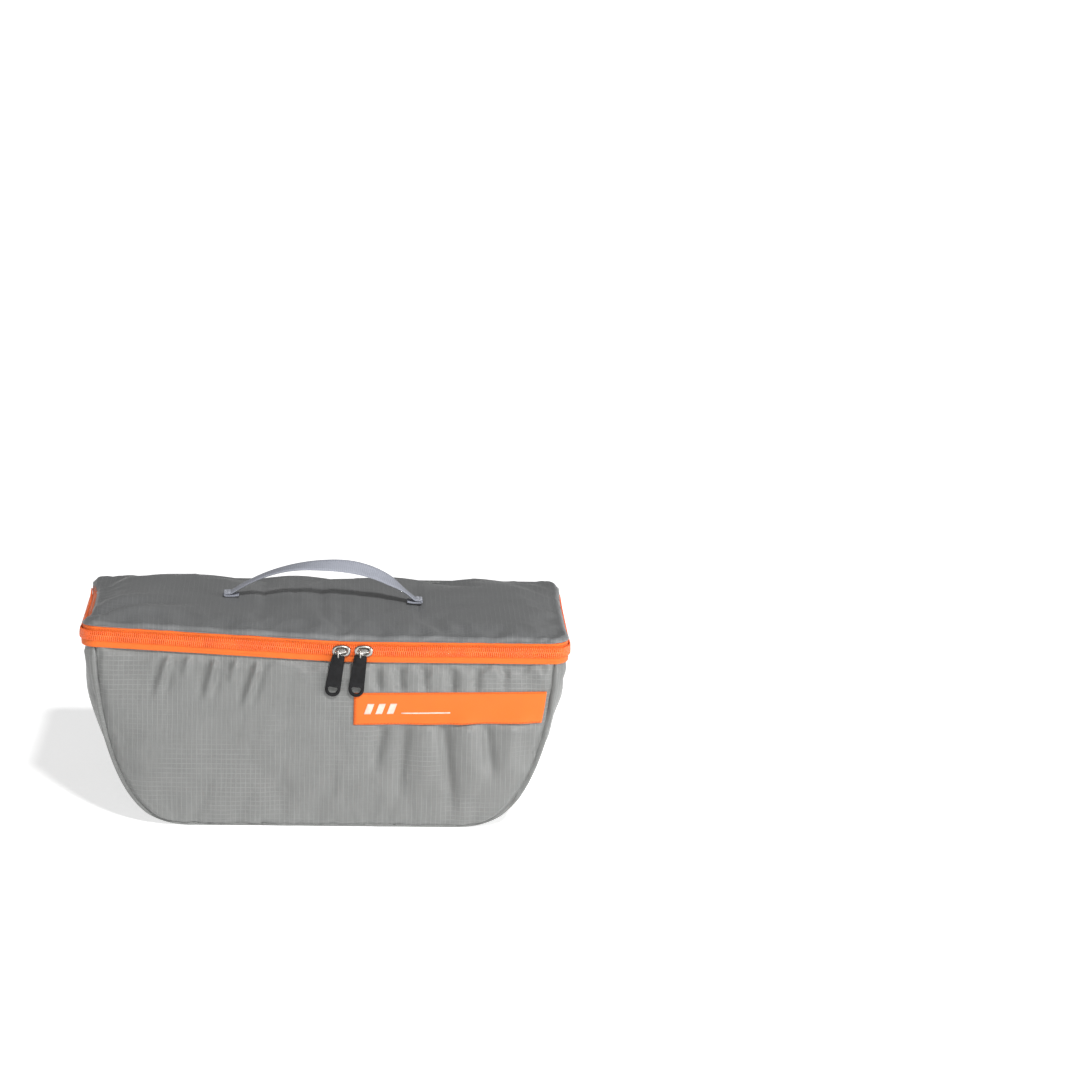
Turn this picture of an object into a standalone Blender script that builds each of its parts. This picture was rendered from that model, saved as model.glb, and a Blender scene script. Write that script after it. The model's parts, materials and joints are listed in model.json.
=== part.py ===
"""Zipped packing cube: a soft fabric tub with a hinged lid, a two-slider zip and a carrying strap.

Metres, +Z up. The front faces -Y. The origin is at the middle of the base, on the resting plane.
"""

from math import cos, pi, radians, sin

import bmesh
import bpy
from mathutils import Matrix, Vector

# Body outline: a flat base that rises into bowed sides.
DEPTH_HALF = 0.080
BASE_HALF = 0.080
TOP_HALF = 0.144
BOW_RISE = 1.7
BOW_ROUND = 3.0
SEAM_Z = 0.002

# Gusset: how far it stands out of the seams, and how much of the depth its corners take.
BULGE_BOTTOM = 0.002
BULGE_TOP = 0.011
CORNER_TOP = 0.20
CORNER_BOTTOM = 0.05

# Rim: the line where the two rows of zip teeth meet. Its front run climbs to the left.
RIM_FRONT_Z = 0.1165
RIM_REAR_Z = 0.117
LEFT_RISE = 0.0080
KINK_X = 0.010
ZIP_END_Y = 0.066

# Fabric and zip sections, measured from the rim line.
FABRIC = 0.0012
FRONT_CROWN = 0.0024
BACK_CROWN = 0.0060
LID_CROWN = 0.0015
SEAM_GAP = 0.0005
BAND_HALF = 0.0073
TAPE_EDGE = 0.0070
TAPE_INNER = 0.0010
TAPE_INSET = 0.0018
TAPE_THICK = 0.0006
COIL_NEAR = 0.00075
COIL_FAR = 0.0036
COIL_THICK = 0.0014

# Inner bindings: sections, and heights from the rim line or the hinge line.
BINDING_THICK = 0.0010
BINDING_WIDTH = 0.0065
BINDING_INSET = 0.0025
BINDING_REACH = 0.97
BODY_BINDING_LOW = -0.0125
BODY_BINDING_HIGH = -0.0080
BODY_BINDING_INSET = 0.0042
LID_BINDING_LOW = 0.0015
LID_BINDING_HIGH = 0.0055
LID_BINDING_INSET = 0.0048
HINGE_BINDING_DROP = 0.0055
HINGE_BINDING_HALF = 0.0035
HINGE_BINDING_INSET = 0.0020
HINGE_BINDING_SHORT = 0.012

# Fabric tabs behind the ends of the zip.
ZIP_TAB_FRONT = 0.0665
ZIP_TAB_BACK = 0.0770
ZIP_TAB_CLEAR = 0.0008

# Lid hinge: the rear edge turns about a line just above the back panel.
HINGE_Z = RIM_REAR_Z + BAND_HALF
HINGE_CLEAR = 0.0016
LID_REAR_Y = DEPTH_HALF - 0.0015

# Sliders: two plates round the tapes, joined by a web between the rows of teeth.
LEFT_SLIDER_X = KINK_X
RIGHT_SLIDER_X = 0.024
SLIDER_LENGTH = 0.012
SLIDER_HEIGHT = 0.0080
PLATE_THICK = 0.0012
PLATE_GAP = 0.0004
WEB_LENGTH = 0.003
WEB_THICK = 0.0005
BRIDGE_HALF = 0.0035
BRIDGE_BAR = 0.0009
BRIDGE_REACH = 0.00235
LEG_OVERLAP = 0.0002
LEG_SLACK = 0.0001
PLATE_ROUND = 0.0004
BRIDGE_Y = -DEPTH_HALF - PLATE_GAP - PLATE_THICK - BRIDGE_REACH

# Pulls: a wire link round the bridge, and a tab hanging from the link.
LINK_X = -0.0020
LINK_RADIUS = 0.0016
LINK_WIRE = 0.00045
LINK_DROP = 0.0037
TAB_THICK = 0.0017
TAB_TOP = 0.0015
TAB_LENGTH = 0.0270
TAB_TOP_HALF = 0.0040
TAB_BOTTOM_HALF = 0.0049
TAB_EYE = 0.00085
TAB_CHAMFER = 0.0015
HOLE_HALF = 0.0027
HOLE_RISE = 0.0008
LEFT_TILT = radians(9.0)
RIGHT_TILT = radians(6.5)

# Handle: webbing that arches over the lid and folds under itself at both ends.
HANDLE_X = -0.002
HANDLE_HALF = 0.064
HANDLE_RISE = 0.0265
HANDLE_POWER = 2.4
STRAP_HALF_WIDTH = 0.005
STRAP_THICK = 0.0013
STRAP_END = 0.0535
PAD_GAP = 0.0005

# Folded end of the handle: its outline inwards from the outer end and up from the lid.
FOLD_REACH = 0.0012
FOLD_GAP = 0.0015
FOLD_TAIL = 0.0011
FOLD_LEG = 0.0013
FOLD_TAIL_END = 0.0090
FOLD_BEND = (0.0040, 0.0040)
FOLD_CORNER = 0.0008
FOLD_HEEL = 0.0004
FOLD_CREASE = 0.0035
FOLD_UNDER = 0.0003

# Bartack over the tail, and the patch under the lid.
TACK_INSET = 0.0092
TACK_LENGTH = 0.0012
TACK_MARGIN = 0.0005
TACK_HEIGHT = 0.0010
TACK_ROUND = 0.0003
PATCH_HALF = 0.010
PATCH_INSET = 0.004
PATCH_GAP = 0.0004

# Label: a woven strip whose right end is caught in the side seam.
LABEL_LEFT = 0.0182
LABEL_LOW = 0.0690
LABEL_HIGH = 0.0895
LABEL_TILT = 0.002
LABEL_THICK = 0.0005
LABEL_GAP = 0.0003

FABRIC_GREY = (0.25, 0.255, 0.25)
LID_GREY = (0.17, 0.175, 0.175)
TAPE_ORANGE = (1.0, 0.25, 0.04)
COIL_ORANGE = (0.85, 0.13, 0.02)
WEBBING_GREY = (0.38, 0.40, 0.45)
BINDING_GREY = (0.10, 0.10, 0.10)
NICKEL = (0.62, 0.60, 0.56)
TAB_BLACK = (0.012, 0.012, 0.012)
THREAD_GREY = (0.55, 0.57, 0.62)


def clear_scene():
    for obj in list(bpy.data.objects):
        bpy.data.objects.remove(obj, do_unlink=True)


def new_collection(name):
    collection = bpy.data.collections.new(name)
    bpy.context.scene.collection.children.link(collection)
    return collection


def material(name, colour, roughness=0.8, metallic=0.0):
    made = bpy.data.materials.new(name)
    made.use_nodes = True
    shader = made.node_tree.nodes["Principled BSDF"]
    shader.inputs["Base Color"].default_value = (*colour, 1.0)
    shader.inputs["Roughness"].default_value = roughness
    shader.inputs["Metallic"].default_value = metallic
    return made


def add_mesh(name, bm, paint):
    """Puts a finished bmesh in the parts collection."""
    mesh = bpy.data.meshes.new(name)
    bm.to_mesh(mesh)
    bm.free()
    mesh.materials.append(paint)
    obj = bpy.data.objects.new(name, mesh)
    parts.objects.link(obj)
    return obj


def sheet(name, place, columns, rows, thickness, paint, grow=-1.0):
    """A grid bent by place(u, v), u and v from -1 to 1, and thickened. Its front is du x dv."""
    bm = bmesh.new()
    bmesh.ops.create_grid(bm, x_segments=columns, y_segments=rows, size=1.0)
    for vert in bm.verts:
        vert.co = place(vert.co.x, vert.co.y)
    obj = add_mesh(name, bm, paint)
    solidify = obj.modifiers.new("Thickness", "SOLIDIFY")
    solidify.thickness = thickness
    solidify.offset = grow
    obj.data.shade_smooth()
    obj.data.set_sharp_from_angle(angle=radians(35))
    return obj


def front_x(u, half):
    """Spreads u over -half to half, with u = 0 at the kink of the rim."""
    return KINK_X * (1 - abs(u)) + u * half


def rim_z(x, y):
    """Height of the rim line at a place in plan."""
    climb = (KINK_X - max(x, -TOP_HALF)) / (KINK_X + TOP_HALF)
    front = RIM_FRONT_Z + LEFT_RISE * max(0.0, climb)
    back = (y + DEPTH_HALF) / (2 * DEPTH_HALF)
    return front + (RIM_REAR_Z - front) * back


def seam_half_width(rise):
    """Half width of the front panel at a share of its height."""
    rise = min(max(rise, 0.0), 1.0)
    return BASE_HALF + (TOP_HALF - BASE_HALF) * (1 - (1 - rise) ** BOW_RISE) ** (1 / BOW_ROUND)


def corner_share(depth, corner):
    """How far out the gusset stands at a share of its depth: 0 at a seam, 1 on the flat."""
    into = (abs(depth) - (1 - corner)) / corner
    return 1.0 if into <= 0 else max(0.0, 1 - into ** 2) ** 0.5


def corner_depths(v, corner):
    """Spreads v so that three quarters of its steps fall in the rounded corners."""
    flat = 0.25
    if abs(v) <= flat:
        return v / flat * (1 - corner)
    angle = (abs(v) - flat) / (1 - flat) * pi / 2
    return (1 - corner + corner * sin(angle)) * (1 if v > 0 else -1)


def seam_point(s, top):
    """Point of the seam outline in XZ. s runs from -1, top left, past the base to 1, top right."""
    flat = 0.10
    side = 1 if s >= 0 else -1
    if abs(s) <= flat:
        return Vector((s / flat * BASE_HALF, 0, SEAM_Z)), 0.0
    rise = ((abs(s) - flat) / (1 - flat)) ** 3
    x = side * seam_half_width(rise)
    return Vector((x, 0, SEAM_Z + rise * (top - SEAM_Z))), rise


def seam_normal(s, top):
    """Outward direction of the seam outline, in XZ."""
    step = 0.004
    low = seam_point(max(s - step, -1.0), top)[0]
    high = seam_point(min(s + step, 1.0), top)[0]
    along = (high - low).normalized()
    return Vector((along.z, 0, -along.x))


def crown(u, w, height):
    """Bulge of a panel, zero round its edge."""
    return height * (1 - u ** 4) * 4 * w * (1 - w)


def panel_point(u, v, side, height):
    """Front (side -1) or back (side 1) panel."""
    w = ((v + 1) / 2) ** 2.2
    half = seam_half_width(w) - SEAM_GAP
    x = front_x(u, half)
    share = x / half
    if side < 0:
        top = rim_z(x, -DEPTH_HALF) - BAND_HALF
    else:
        top = HINGE_Z - HINGE_CLEAR
        x = -x
    bottom = SEAM_Z + SEAM_GAP
    return Vector((x, side * (DEPTH_HALF + crown(share, w, height)), bottom + w * (top - bottom)))


def gusset_point(u, v):
    corner = CORNER_BOTTOM + (CORNER_TOP - CORNER_BOTTOM) * seam_point(u, 1.0)[1]
    depth = -corner_depths(v, corner)
    y = depth * DEPTH_HALF
    side = 1 if u >= 0 else -1
    top = rim_z(side * TOP_HALF, y) - BAND_HALF
    point, rise = seam_point(u, top)
    bulge = BULGE_BOTTOM + (BULGE_TOP - BULGE_BOTTOM) * rise ** 2
    out = seam_normal(u, top) * bulge * corner_share(depth, corner)
    z = max(0.0, point.z + out.z * (1 - rise))
    return Vector((point.x + out.x, y, z))


def plan_half_width(y):
    """Half width of the rim in plan."""
    return TOP_HALF + BULGE_TOP * corner_share(y / DEPTH_HALF, CORNER_TOP)


def lid_z(x, y):
    """Top of the lid over a place in plan."""
    half = plan_half_width(y)
    lift = LID_CROWN * (1 - abs(x / half) ** 6) * (1 - abs(y / DEPTH_HALF) ** 6)
    return rim_z(x, y) + BAND_HALF + FABRIC + lift


def lid_point(u, v):
    y = corner_depths(v, CORNER_TOP) * (DEPTH_HALF if v < 0 else LID_REAR_Y)
    x = front_x(u, plan_half_width(y))
    return Vector((x, y, lid_z(x, y)))


def rim_path(r):
    """Plan point of the rim. r runs from -1, rear left, past the front to 1, rear right."""
    straight, turned = 0.5, 0.8
    side = 1 if r >= 0 else -1
    far = abs(r)
    corner = CORNER_TOP * DEPTH_HALF
    if far <= straight:
        return Vector((front_x(r / straight, TOP_HALF), -DEPTH_HALF, 0))
    if far <= turned:
        angle = (far - straight) / (turned - straight) * pi / 2
        x = TOP_HALF + BULGE_TOP * sin(angle)
        return Vector((side * x, -DEPTH_HALF + corner * (1 - cos(angle)), 0))
    start = -DEPTH_HALF + corner
    y = start + (far - turned) / (1 - turned) * (ZIP_END_Y - start)
    return Vector((side * (TOP_HALF + BULGE_TOP), y, 0))


def rim_place(low, high, inset):
    """Surface of a strip that follows the rim between two heights, some way inside it."""

    def place(u, v):
        here = rim_path(u)
        step = 0.002
        along = rim_path(min(u + step, 1.0)) - rim_path(max(u - step, -1.0))
        out = Vector((along.y, -along.x, 0)).normalized()
        z = rim_z(here.x, here.y) + low + (v + 1) / 2 * (high - low)
        return Vector((here.x - out.x * inset, here.y - out.y * inset, z))

    return place


def seam_binding_place(side):
    """Bias tape over the inner edges of a side seam, standing inwards from it."""
    def place(u, v):
        point = seam_point(u * BINDING_REACH, RIM_FRONT_Z - BAND_HALF)[0]
        out = seam_normal(u * BINDING_REACH, RIM_FRONT_Z - BAND_HALF)
        width = BINDING_INSET + (1 + side * v) / 2 * BINDING_WIDTH
        y = side * (DEPTH_HALF - BINDING_INSET)
        return Vector((point.x - out.x * width, y, point.z - out.z * width))

    return place


def add_box(name, size, centre, collection, paint):
    bm = bmesh.new()
    bmesh.ops.create_cube(bm, size=1.0)
    bmesh.ops.scale(bm, vec=size, verts=bm.verts)
    mesh = bpy.data.meshes.new(name)
    bm.to_mesh(mesh)
    bm.free()
    mesh.materials.append(paint)
    obj = bpy.data.objects.new(name, mesh)
    obj.location = centre
    collection.objects.link(obj)
    return obj


def round_edges(obj, width, segments=2):
    bevel = obj.modifiers.new("Rounding", "BEVEL")
    bevel.width = width
    bevel.segments = segments
    bevel.limit_method = "ANGLE"
    bevel.angle_limit = radians(40)


def join(base, name, size, centre):
    """Joins a box to a part with a Boolean."""
    extra = add_box(name, size, centre, cutters, base.data.materials[0])
    extra.hide_render = True
    extra.display_type = "WIRE"
    union = base.modifiers.new(name, "BOOLEAN")
    union.operation = "UNION"
    union.solver = "EXACT"
    union.object = extra


def slider(name, x, z):
    """Nickel slider: outer and inner plates, the web between them and the bridge for the pull."""
    outer_y = -DEPTH_HALF - PLATE_GAP - PLATE_THICK / 2
    inner_y = -DEPTH_HALF + TAPE_INSET + TAPE_THICK + PLATE_GAP + PLATE_THICK / 2
    plate = (SLIDER_LENGTH, PLATE_THICK, SLIDER_HEIGHT)
    body = add_box(name, plate, (x, outer_y, z), parts, nickel)
    round_edges(body, PLATE_ROUND, 1)
    join(body, name + "_inner_plate", plate, (x, inner_y, z))
    web_size = (WEB_LENGTH, inner_y - outer_y, WEB_THICK)
    join(body, name + "_web", web_size, (x, (inner_y + outer_y) / 2, z))
    bar_size = (2 * BRIDGE_HALF, BRIDGE_BAR, BRIDGE_BAR)
    join(body, name + "_bar", bar_size, (x, BRIDGE_Y, z))
    for end in (-1, 1):
        leg_x = x + end * (BRIDGE_HALF - BRIDGE_BAR / 2 + LEG_SLACK)
        leg_y = BRIDGE_Y + BRIDGE_REACH / 2 + LEG_OVERLAP
        leg_size = (BRIDGE_BAR, BRIDGE_REACH + LEG_OVERLAP, BRIDGE_BAR - LEG_SLACK)
        join(body, name + f"_leg_{end}", leg_size, (leg_x, leg_y, z))
    return body


def link(name, x, z):
    """Wire link: a long ring that hangs round the bridge. Its origin is the bridge's middle."""
    drop = LINK_DROP - LINK_RADIUS
    curve = bpy.data.curves.new(name, "CURVE")
    curve.dimensions = "3D"
    curve.bevel_depth = LINK_WIRE
    curve.bevel_resolution = 2
    steps = 6
    points = []
    for end, centre in ((1, 0.0), (-1, -drop)):
        for step in range(steps + 1):
            angle = pi * step / steps
            y = end * LINK_RADIUS * cos(angle)
            points.append((0, y, centre + end * LINK_RADIUS * sin(angle)))
    spline = curve.splines.new("POLY")
    spline.points.add(len(points) - 1)
    for target, point in zip(spline.points, points):
        target.co = (*point, 1)
    spline.use_cyclic_u = True
    curve.materials.append(nickel)
    obj = bpy.data.objects.new(name, curve)
    obj.location = (x, BRIDGE_Y, z)
    parts.objects.link(obj)
    return obj


def outline_curve(name, outlines, half_thickness, paint):
    """Flat plate in the XY plane of its object, from one outer outline and its holes."""
    curve = bpy.data.curves.new(name, "CURVE")
    curve.dimensions = "2D"
    curve.fill_mode = "BOTH"
    curve.extrude = half_thickness
    for outline in outlines:
        spline = curve.splines.new("POLY")
        spline.points.add(len(outline) - 1)
        for target, (x, y) in zip(spline.points, outline):
            target.co = (x, y, 0, 1)
        spline.use_cyclic_u = True
    curve.materials.append(paint)
    obj = bpy.data.objects.new(name, curve)
    parts.objects.link(obj)
    return obj


def arc(centre, radius, start, end, steps):
    """Points of a circular arc, angles in degrees."""
    turns = [radians(start + (end - start) * step / steps) for step in range(steps + 1)]
    return [(centre[0] + radius * cos(turn), centre[1] + radius * sin(turn)) for turn in turns]


def tab_outlines():
    """Tapering pull tab with a round foot, an eye for the link and a finger hole."""
    foot_y = TAB_TOP - TAB_LENGTH + TAB_BOTTOM_HALF
    shoulder = TAB_TOP_HALF - TAB_CHAMFER
    outer = [(-TAB_TOP_HALF, TAB_TOP - TAB_CHAMFER)]
    outer += arc((0, foot_y), TAB_BOTTOM_HALF, 180, 360, 10)
    outer += [(TAB_TOP_HALF, TAB_TOP - TAB_CHAMFER)]
    outer += [(shoulder, TAB_TOP), (-shoulder, TAB_TOP)]
    eye = arc((0, 0), TAB_EYE, 0, 330, 11)
    hole = [(-HOLE_HALF, foot_y + HOLE_RISE)] + arc((0, foot_y), HOLE_HALF, 195, 345, 6)
    hole += [(HOLE_HALF, foot_y + HOLE_RISE)]
    return [outer, eye, hole]


def pull_tab(name, x, z, tilt):
    """Black tab. Its origin is the middle of its eye, on the axis that it swings about."""
    obj = outline_curve(name, tab_outlines(), TAB_THICK / 2, tab_black)
    obj.location = (x, BRIDGE_Y, z)
    obj.rotation_euler = (Matrix.Rotation(tilt, 3, "Y") @ Matrix.Rotation(pi / 2, 3, "X")).to_euler()
    return obj


def pad_z(side):
    """Underside of the handle's folded end."""
    inner = lid_z(HANDLE_X + side * (HANDLE_HALF - FOLD_TAIL_END), 0)
    return max(inner, lid_z(HANDLE_X + side * HANDLE_HALF, 0)) + PAD_GAP


def handle_z(x):
    """Centre line of the handle over the lid."""
    share = min(1.0, abs(x - HANDLE_X) / HANDLE_HALF)
    across = (x - HANDLE_X + HANDLE_HALF) / (2 * HANDLE_HALF)
    base = pad_z(-1) + (pad_z(1) - pad_z(-1)) * across
    return base + STRAP_THICK + HANDLE_RISE * (1 - share ** HANDLE_POWER)


def strap_point(u, v):
    x = HANDLE_X + u * STRAP_END
    return Vector((x, v * STRAP_HALF_WIDTH, handle_z(x)))


def handle_end(name, side):
    """Folded end of the handle: the strap comes down to its outer end and turns back beneath."""
    inner = HANDLE_HALF - STRAP_END - FOLD_GAP
    top = handle_z(HANDLE_X + side * (HANDLE_HALF - inner)) - pad_z(side)
    outline = [(inner, top), FOLD_BEND, (FOLD_CORNER, FOLD_TAIL + FOLD_LEG)]
    outline += [(0.0, FOLD_TAIL), (FOLD_HEEL, 0.0), (FOLD_TAIL_END, 0.0), (FOLD_TAIL_END, FOLD_TAIL)]
    outline += [(FOLD_CREASE, FOLD_TAIL), (inner + FOLD_UNDER, top - FOLD_LEG * 1.4)]
    turned = [(-side * x, z) for x, z in outline]
    obj = outline_curve(name, [turned], STRAP_HALF_WIDTH, webbing)
    obj.location = (HANDLE_X + side * (HANDLE_HALF + FOLD_REACH), 0, pad_z(side))
    obj.rotation_euler = (pi / 2, 0, 0)
    return obj


def bartack(name, side):
    """Dense stitching that holds the folded end, proud of the tail's inner edge."""
    x = HANDLE_X + side * (HANDLE_HALF - TACK_INSET)
    size = (TACK_LENGTH, 2 * (STRAP_HALF_WIDTH - TACK_MARGIN), TACK_HEIGHT)
    obj = add_box(name, size, (x, 0, pad_z(side) + TACK_HEIGHT / 2), parts, thread)
    round_edges(obj, TACK_ROUND, 1)
    return obj


def handle_patch(name, side):
    """Reinforcement sewn under the lid behind a handle end."""
    middle = HANDLE_X + side * (HANDLE_HALF - PATCH_INSET)

    def place(u, v):
        x = middle + u * PATCH_HALF
        y = v * PATCH_HALF
        return Vector((x, y, lid_z(x, y) - FABRIC - PATCH_GAP))

    return sheet(name, place, 2, 2, BINDING_THICK, binding)


def label_point(u, v):
    z_middle = (LABEL_LOW + LABEL_HIGH) / 2
    z = z_middle + v * (LABEL_HIGH - LABEL_LOW) / 2
    rise = (z - SEAM_Z) / (rim_z(TOP_HALF, -DEPTH_HALF) - BAND_HALF - SEAM_Z)
    right = seam_half_width(rise) - 2 * SEAM_GAP
    x = LABEL_LEFT + (u + 1) / 2 * (right - LABEL_LEFT)
    z += LABEL_TILT * (x - LABEL_LEFT) / (TOP_HALF - LABEL_LEFT)
    half = seam_half_width(rise)
    y = -DEPTH_HALF - crown(x / half, rise, FRONT_CROWN) - LABEL_GAP
    return Vector((x, y, z))


def zip_end_place(side):
    """Fabric tab that closes the corner behind the end of the zip."""

    def place(u, v):
        y = ZIP_TAB_FRONT + (1 + side * u) / 2 * (ZIP_TAB_BACK - ZIP_TAB_FRONT)
        x = side * plan_half_width(y)
        low = rim_z(x, y) - TAPE_EDGE
        high = HINGE_Z - ZIP_TAB_CLEAR
        return Vector((x, y, low + (v + 1) / 2 * (high - low)))

    return place


def hinge_binding_point(u, v):
    """Bias tape over the inner edge of the hinge seam."""
    z = HINGE_Z - HINGE_BINDING_DROP + v * HINGE_BINDING_HALF
    return Vector((-u * (TOP_HALF - HINGE_BINDING_SHORT), DEPTH_HALF - HINGE_BINDING_INSET, z))


clear_scene()
parts = new_collection("packing_cube")
cutters = new_collection("cutters")

fabric = material("ripstop_grey", FABRIC_GREY, 0.55)
lid_fabric = material("ripstop_lid", LID_GREY, 0.6)
tape = material("zip_tape_orange", TAPE_ORANGE, 0.75)
coil = material("zip_coil_orange", COIL_ORANGE, 0.5)
webbing = material("webbing_grey", WEBBING_GREY, 0.8)
binding = material("binding_grey", BINDING_GREY, 0.85)
nickel = material("nickel", NICKEL, 0.25, 1.0)
tab_black = material("tab_black", TAB_BLACK, 0.6)
thread = material("thread_grey", THREAD_GREY, 0.8)
label_orange = material("label_orange", TAPE_ORANGE, 0.6)

# Fabric shells.
sheet("front_panel", lambda u, v: panel_point(u, v, -1, FRONT_CROWN), 12, 10, FABRIC, fabric)
sheet("back_panel", lambda u, v: panel_point(u, v, 1, BACK_CROWN), 12, 10, FABRIC, fabric)
sheet("gusset", gusset_point, 40, 12, FABRIC, fabric)
sheet("lid_panel", lid_point, 14, 16, FABRIC, lid_fabric)

# Strips along the rim: a tape and a row of teeth for each half of the zip, and the rim bindings.
strips = (
    ("zip_tape_body", -TAPE_EDGE, -TAPE_INNER, TAPE_INSET, TAPE_THICK, tape),
    ("zip_tape_lid", TAPE_INNER, TAPE_EDGE, TAPE_INSET, TAPE_THICK, tape),
    ("zip_coil_body", -COIL_FAR, -COIL_NEAR, 0.0, COIL_THICK, coil),
    ("zip_coil_lid", COIL_NEAR, COIL_FAR, 0.0, COIL_THICK, coil),
    ("body_rim_binding", BODY_BINDING_LOW, BODY_BINDING_HIGH, BODY_BINDING_INSET, BINDING_THICK, binding),
    ("lid_rim_binding", LID_BINDING_LOW, LID_BINDING_HIGH, LID_BINDING_INSET, BINDING_THICK, binding),
)
for strip_name, low, high, inset, thick, paint in strips:
    sheet(strip_name, rim_place(low, high, inset), 40, 1, thick, paint)

# Inner bindings.
for strip_name, side in (("front_seam_binding", -1), ("back_seam_binding", 1)):
    sheet(strip_name, seam_binding_place(side), 30, 1, BINDING_THICK, binding)
sheet("hinge_binding", hinge_binding_point, 4, 1, BINDING_THICK, binding)
for strip_name, side in (("zip_end_left", -1), ("zip_end_right", 1)):
    sheet(strip_name, zip_end_place(side), 4, 1, FABRIC, fabric)

# Sliders and pulls.
for side_name, slider_x, tilt in (
    ("left", LEFT_SLIDER_X, LEFT_TILT),
    ("right", RIGHT_SLIDER_X, RIGHT_TILT),
):
    slider("slider_" + side_name, slider_x, RIM_FRONT_Z)
    link("pull_link_" + side_name, slider_x + LINK_X, RIM_FRONT_Z)
    pull_tab("pull_tab_" + side_name, slider_x + LINK_X, RIM_FRONT_Z - LINK_DROP, tilt)

# Handle and label.
sheet("handle_strap", strap_point, 20, 1, STRAP_THICK, webbing)
for side_name, side in (("left", -1), ("right", 1)):
    handle_end("handle_end_" + side_name, side)
    bartack("handle_bartack_" + side_name, side)
    handle_patch("handle_patch_" + side_name, side)
sheet("label_strip", label_point, 8, 1, LABEL_THICK, label_orange, 1.0)
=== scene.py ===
"""Packing cube: fabric panels, zip, sliders, handle and label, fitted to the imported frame."""

import json
from math import cos, pi, radians, sin

import bmesh
import bpy
import numpy as np
from mathutils import Matrix, Quaternion, Vector


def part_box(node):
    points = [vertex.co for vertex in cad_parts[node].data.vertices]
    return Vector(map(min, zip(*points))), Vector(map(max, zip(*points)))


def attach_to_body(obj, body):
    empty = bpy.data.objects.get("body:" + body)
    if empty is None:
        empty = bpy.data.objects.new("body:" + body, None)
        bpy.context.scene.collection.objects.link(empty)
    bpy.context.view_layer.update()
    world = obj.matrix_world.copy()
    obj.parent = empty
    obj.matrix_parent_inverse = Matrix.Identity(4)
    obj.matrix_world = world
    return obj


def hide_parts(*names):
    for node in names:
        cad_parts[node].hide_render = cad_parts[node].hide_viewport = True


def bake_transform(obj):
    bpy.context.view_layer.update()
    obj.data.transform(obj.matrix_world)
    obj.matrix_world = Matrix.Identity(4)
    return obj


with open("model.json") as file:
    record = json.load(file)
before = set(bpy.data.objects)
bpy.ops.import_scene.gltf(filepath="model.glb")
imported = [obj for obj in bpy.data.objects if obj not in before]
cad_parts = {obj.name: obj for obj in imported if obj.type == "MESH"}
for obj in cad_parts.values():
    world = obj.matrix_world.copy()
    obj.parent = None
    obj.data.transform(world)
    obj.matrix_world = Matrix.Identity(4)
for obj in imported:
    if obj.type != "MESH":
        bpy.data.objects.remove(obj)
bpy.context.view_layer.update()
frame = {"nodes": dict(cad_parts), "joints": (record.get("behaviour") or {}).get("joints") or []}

JOINTS = {joint["name"]: joint for joint in frame["joints"]}


def middle_of(node):
    low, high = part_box(node)
    return (Vector(low) + Vector(high)) / 2


# Places read from the frame, in metres.
HINGE = Vector(JOINTS["lid_hinge"]["pos_m"])
SLIDE_AXIS = JOINTS["left_slide"]["axis"]

SEAM_GAP = 0.0005
DEPTH = -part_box("lid_panel")[0][1]
TOP_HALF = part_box("front_panel")[1][0] + SEAM_GAP
SIDE_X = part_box("gusset")[1][0]
RIM_Z = JOINTS["left_pull_lift"]["pos_m"][2]
# Half the height of the zip, from the rim line to a seam.
BAND = 0.0073
REAR_Z = HINGE.z - BAND
KINK_X = middle_of("slider_left").x
CLIMB = -SLIDE_AXIS[2] / SLIDE_AXIS[0]

# Shape of the tub, as the frame has it. CORNER is the share of the depth that a rounded corner takes.
BASE_HALF = 0.080
SEAM_Z = 0.002
BOW_RISE, BOW_ROUND = 1.7, 3.0
BULGE_LOW, BULGE_HIGH = 0.002, SIDE_X - TOP_HALF
CORNER_LOW, CORNER_HIGH = 0.05, 0.20
FRONT_CROWN, BACK_CROWN, LID_CROWN = 0.0022, 0.0058, 0.0020

# Seam grooves: how deep the fabric turns in, and over what distance.
GROOVE_DEEP = 0.0026
GROOVE_WIDE = 0.0020
CLOTH_THICK = 0.0005

# The fabric runs this far up behind the zip tape, and the hinge's two fabrics end this far from its axis.
UNDER_TAPE = 0.003
HINGE_BELOW = 0.0009
HINGE_ABOVE = 0.0005


# ---------------------------------------------------------------- geometry helpers


def smooth(x, low, high):
    """0 below low, 1 above high, smooth between."""
    t = np.clip((x - low) / (high - low), 0.0, 1.0)
    return t * t * (3 - 2 * t)


def waves(x, y, scale, seed, terms=9):
    """Smooth noise from a few sine waves, roughly between -1 and 1."""
    rng = np.random.default_rng(seed)
    total = np.zeros(np.broadcast(x, y).shape)
    for _ in range(terms):
        angle, phase = rng.uniform(0, 2 * pi, 2)
        pitch = scale * rng.uniform(0.6, 1.7)
        total = total + np.sin(2 * pi * (x * cos(angle) + y * sin(angle)) / pitch + phase)
    return total / terms ** 0.5 / 1.4


def folds(x, pitch, seed):
    """Uneven ridges across x, between -1 and 1."""
    return waves(x, np.zeros_like(x), pitch, seed, 5)


def rim_z(x, y):
    """Height of the line where the two rows of teeth meet, over a place in plan."""
    front = RIM_Z + CLIMB * np.clip(KINK_X - np.maximum(x, -TOP_HALF), 0, None)
    return front + (REAR_Z - front) * (y + DEPTH) / (2 * DEPTH)


def seam_half(rise):
    """Half width of the front panel at a share of its height."""
    rise = np.clip(rise, 0, 1)
    return BASE_HALF + (TOP_HALF - BASE_HALF) * (1 - (1 - rise) ** BOW_RISE) ** (1 / BOW_ROUND)


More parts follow.
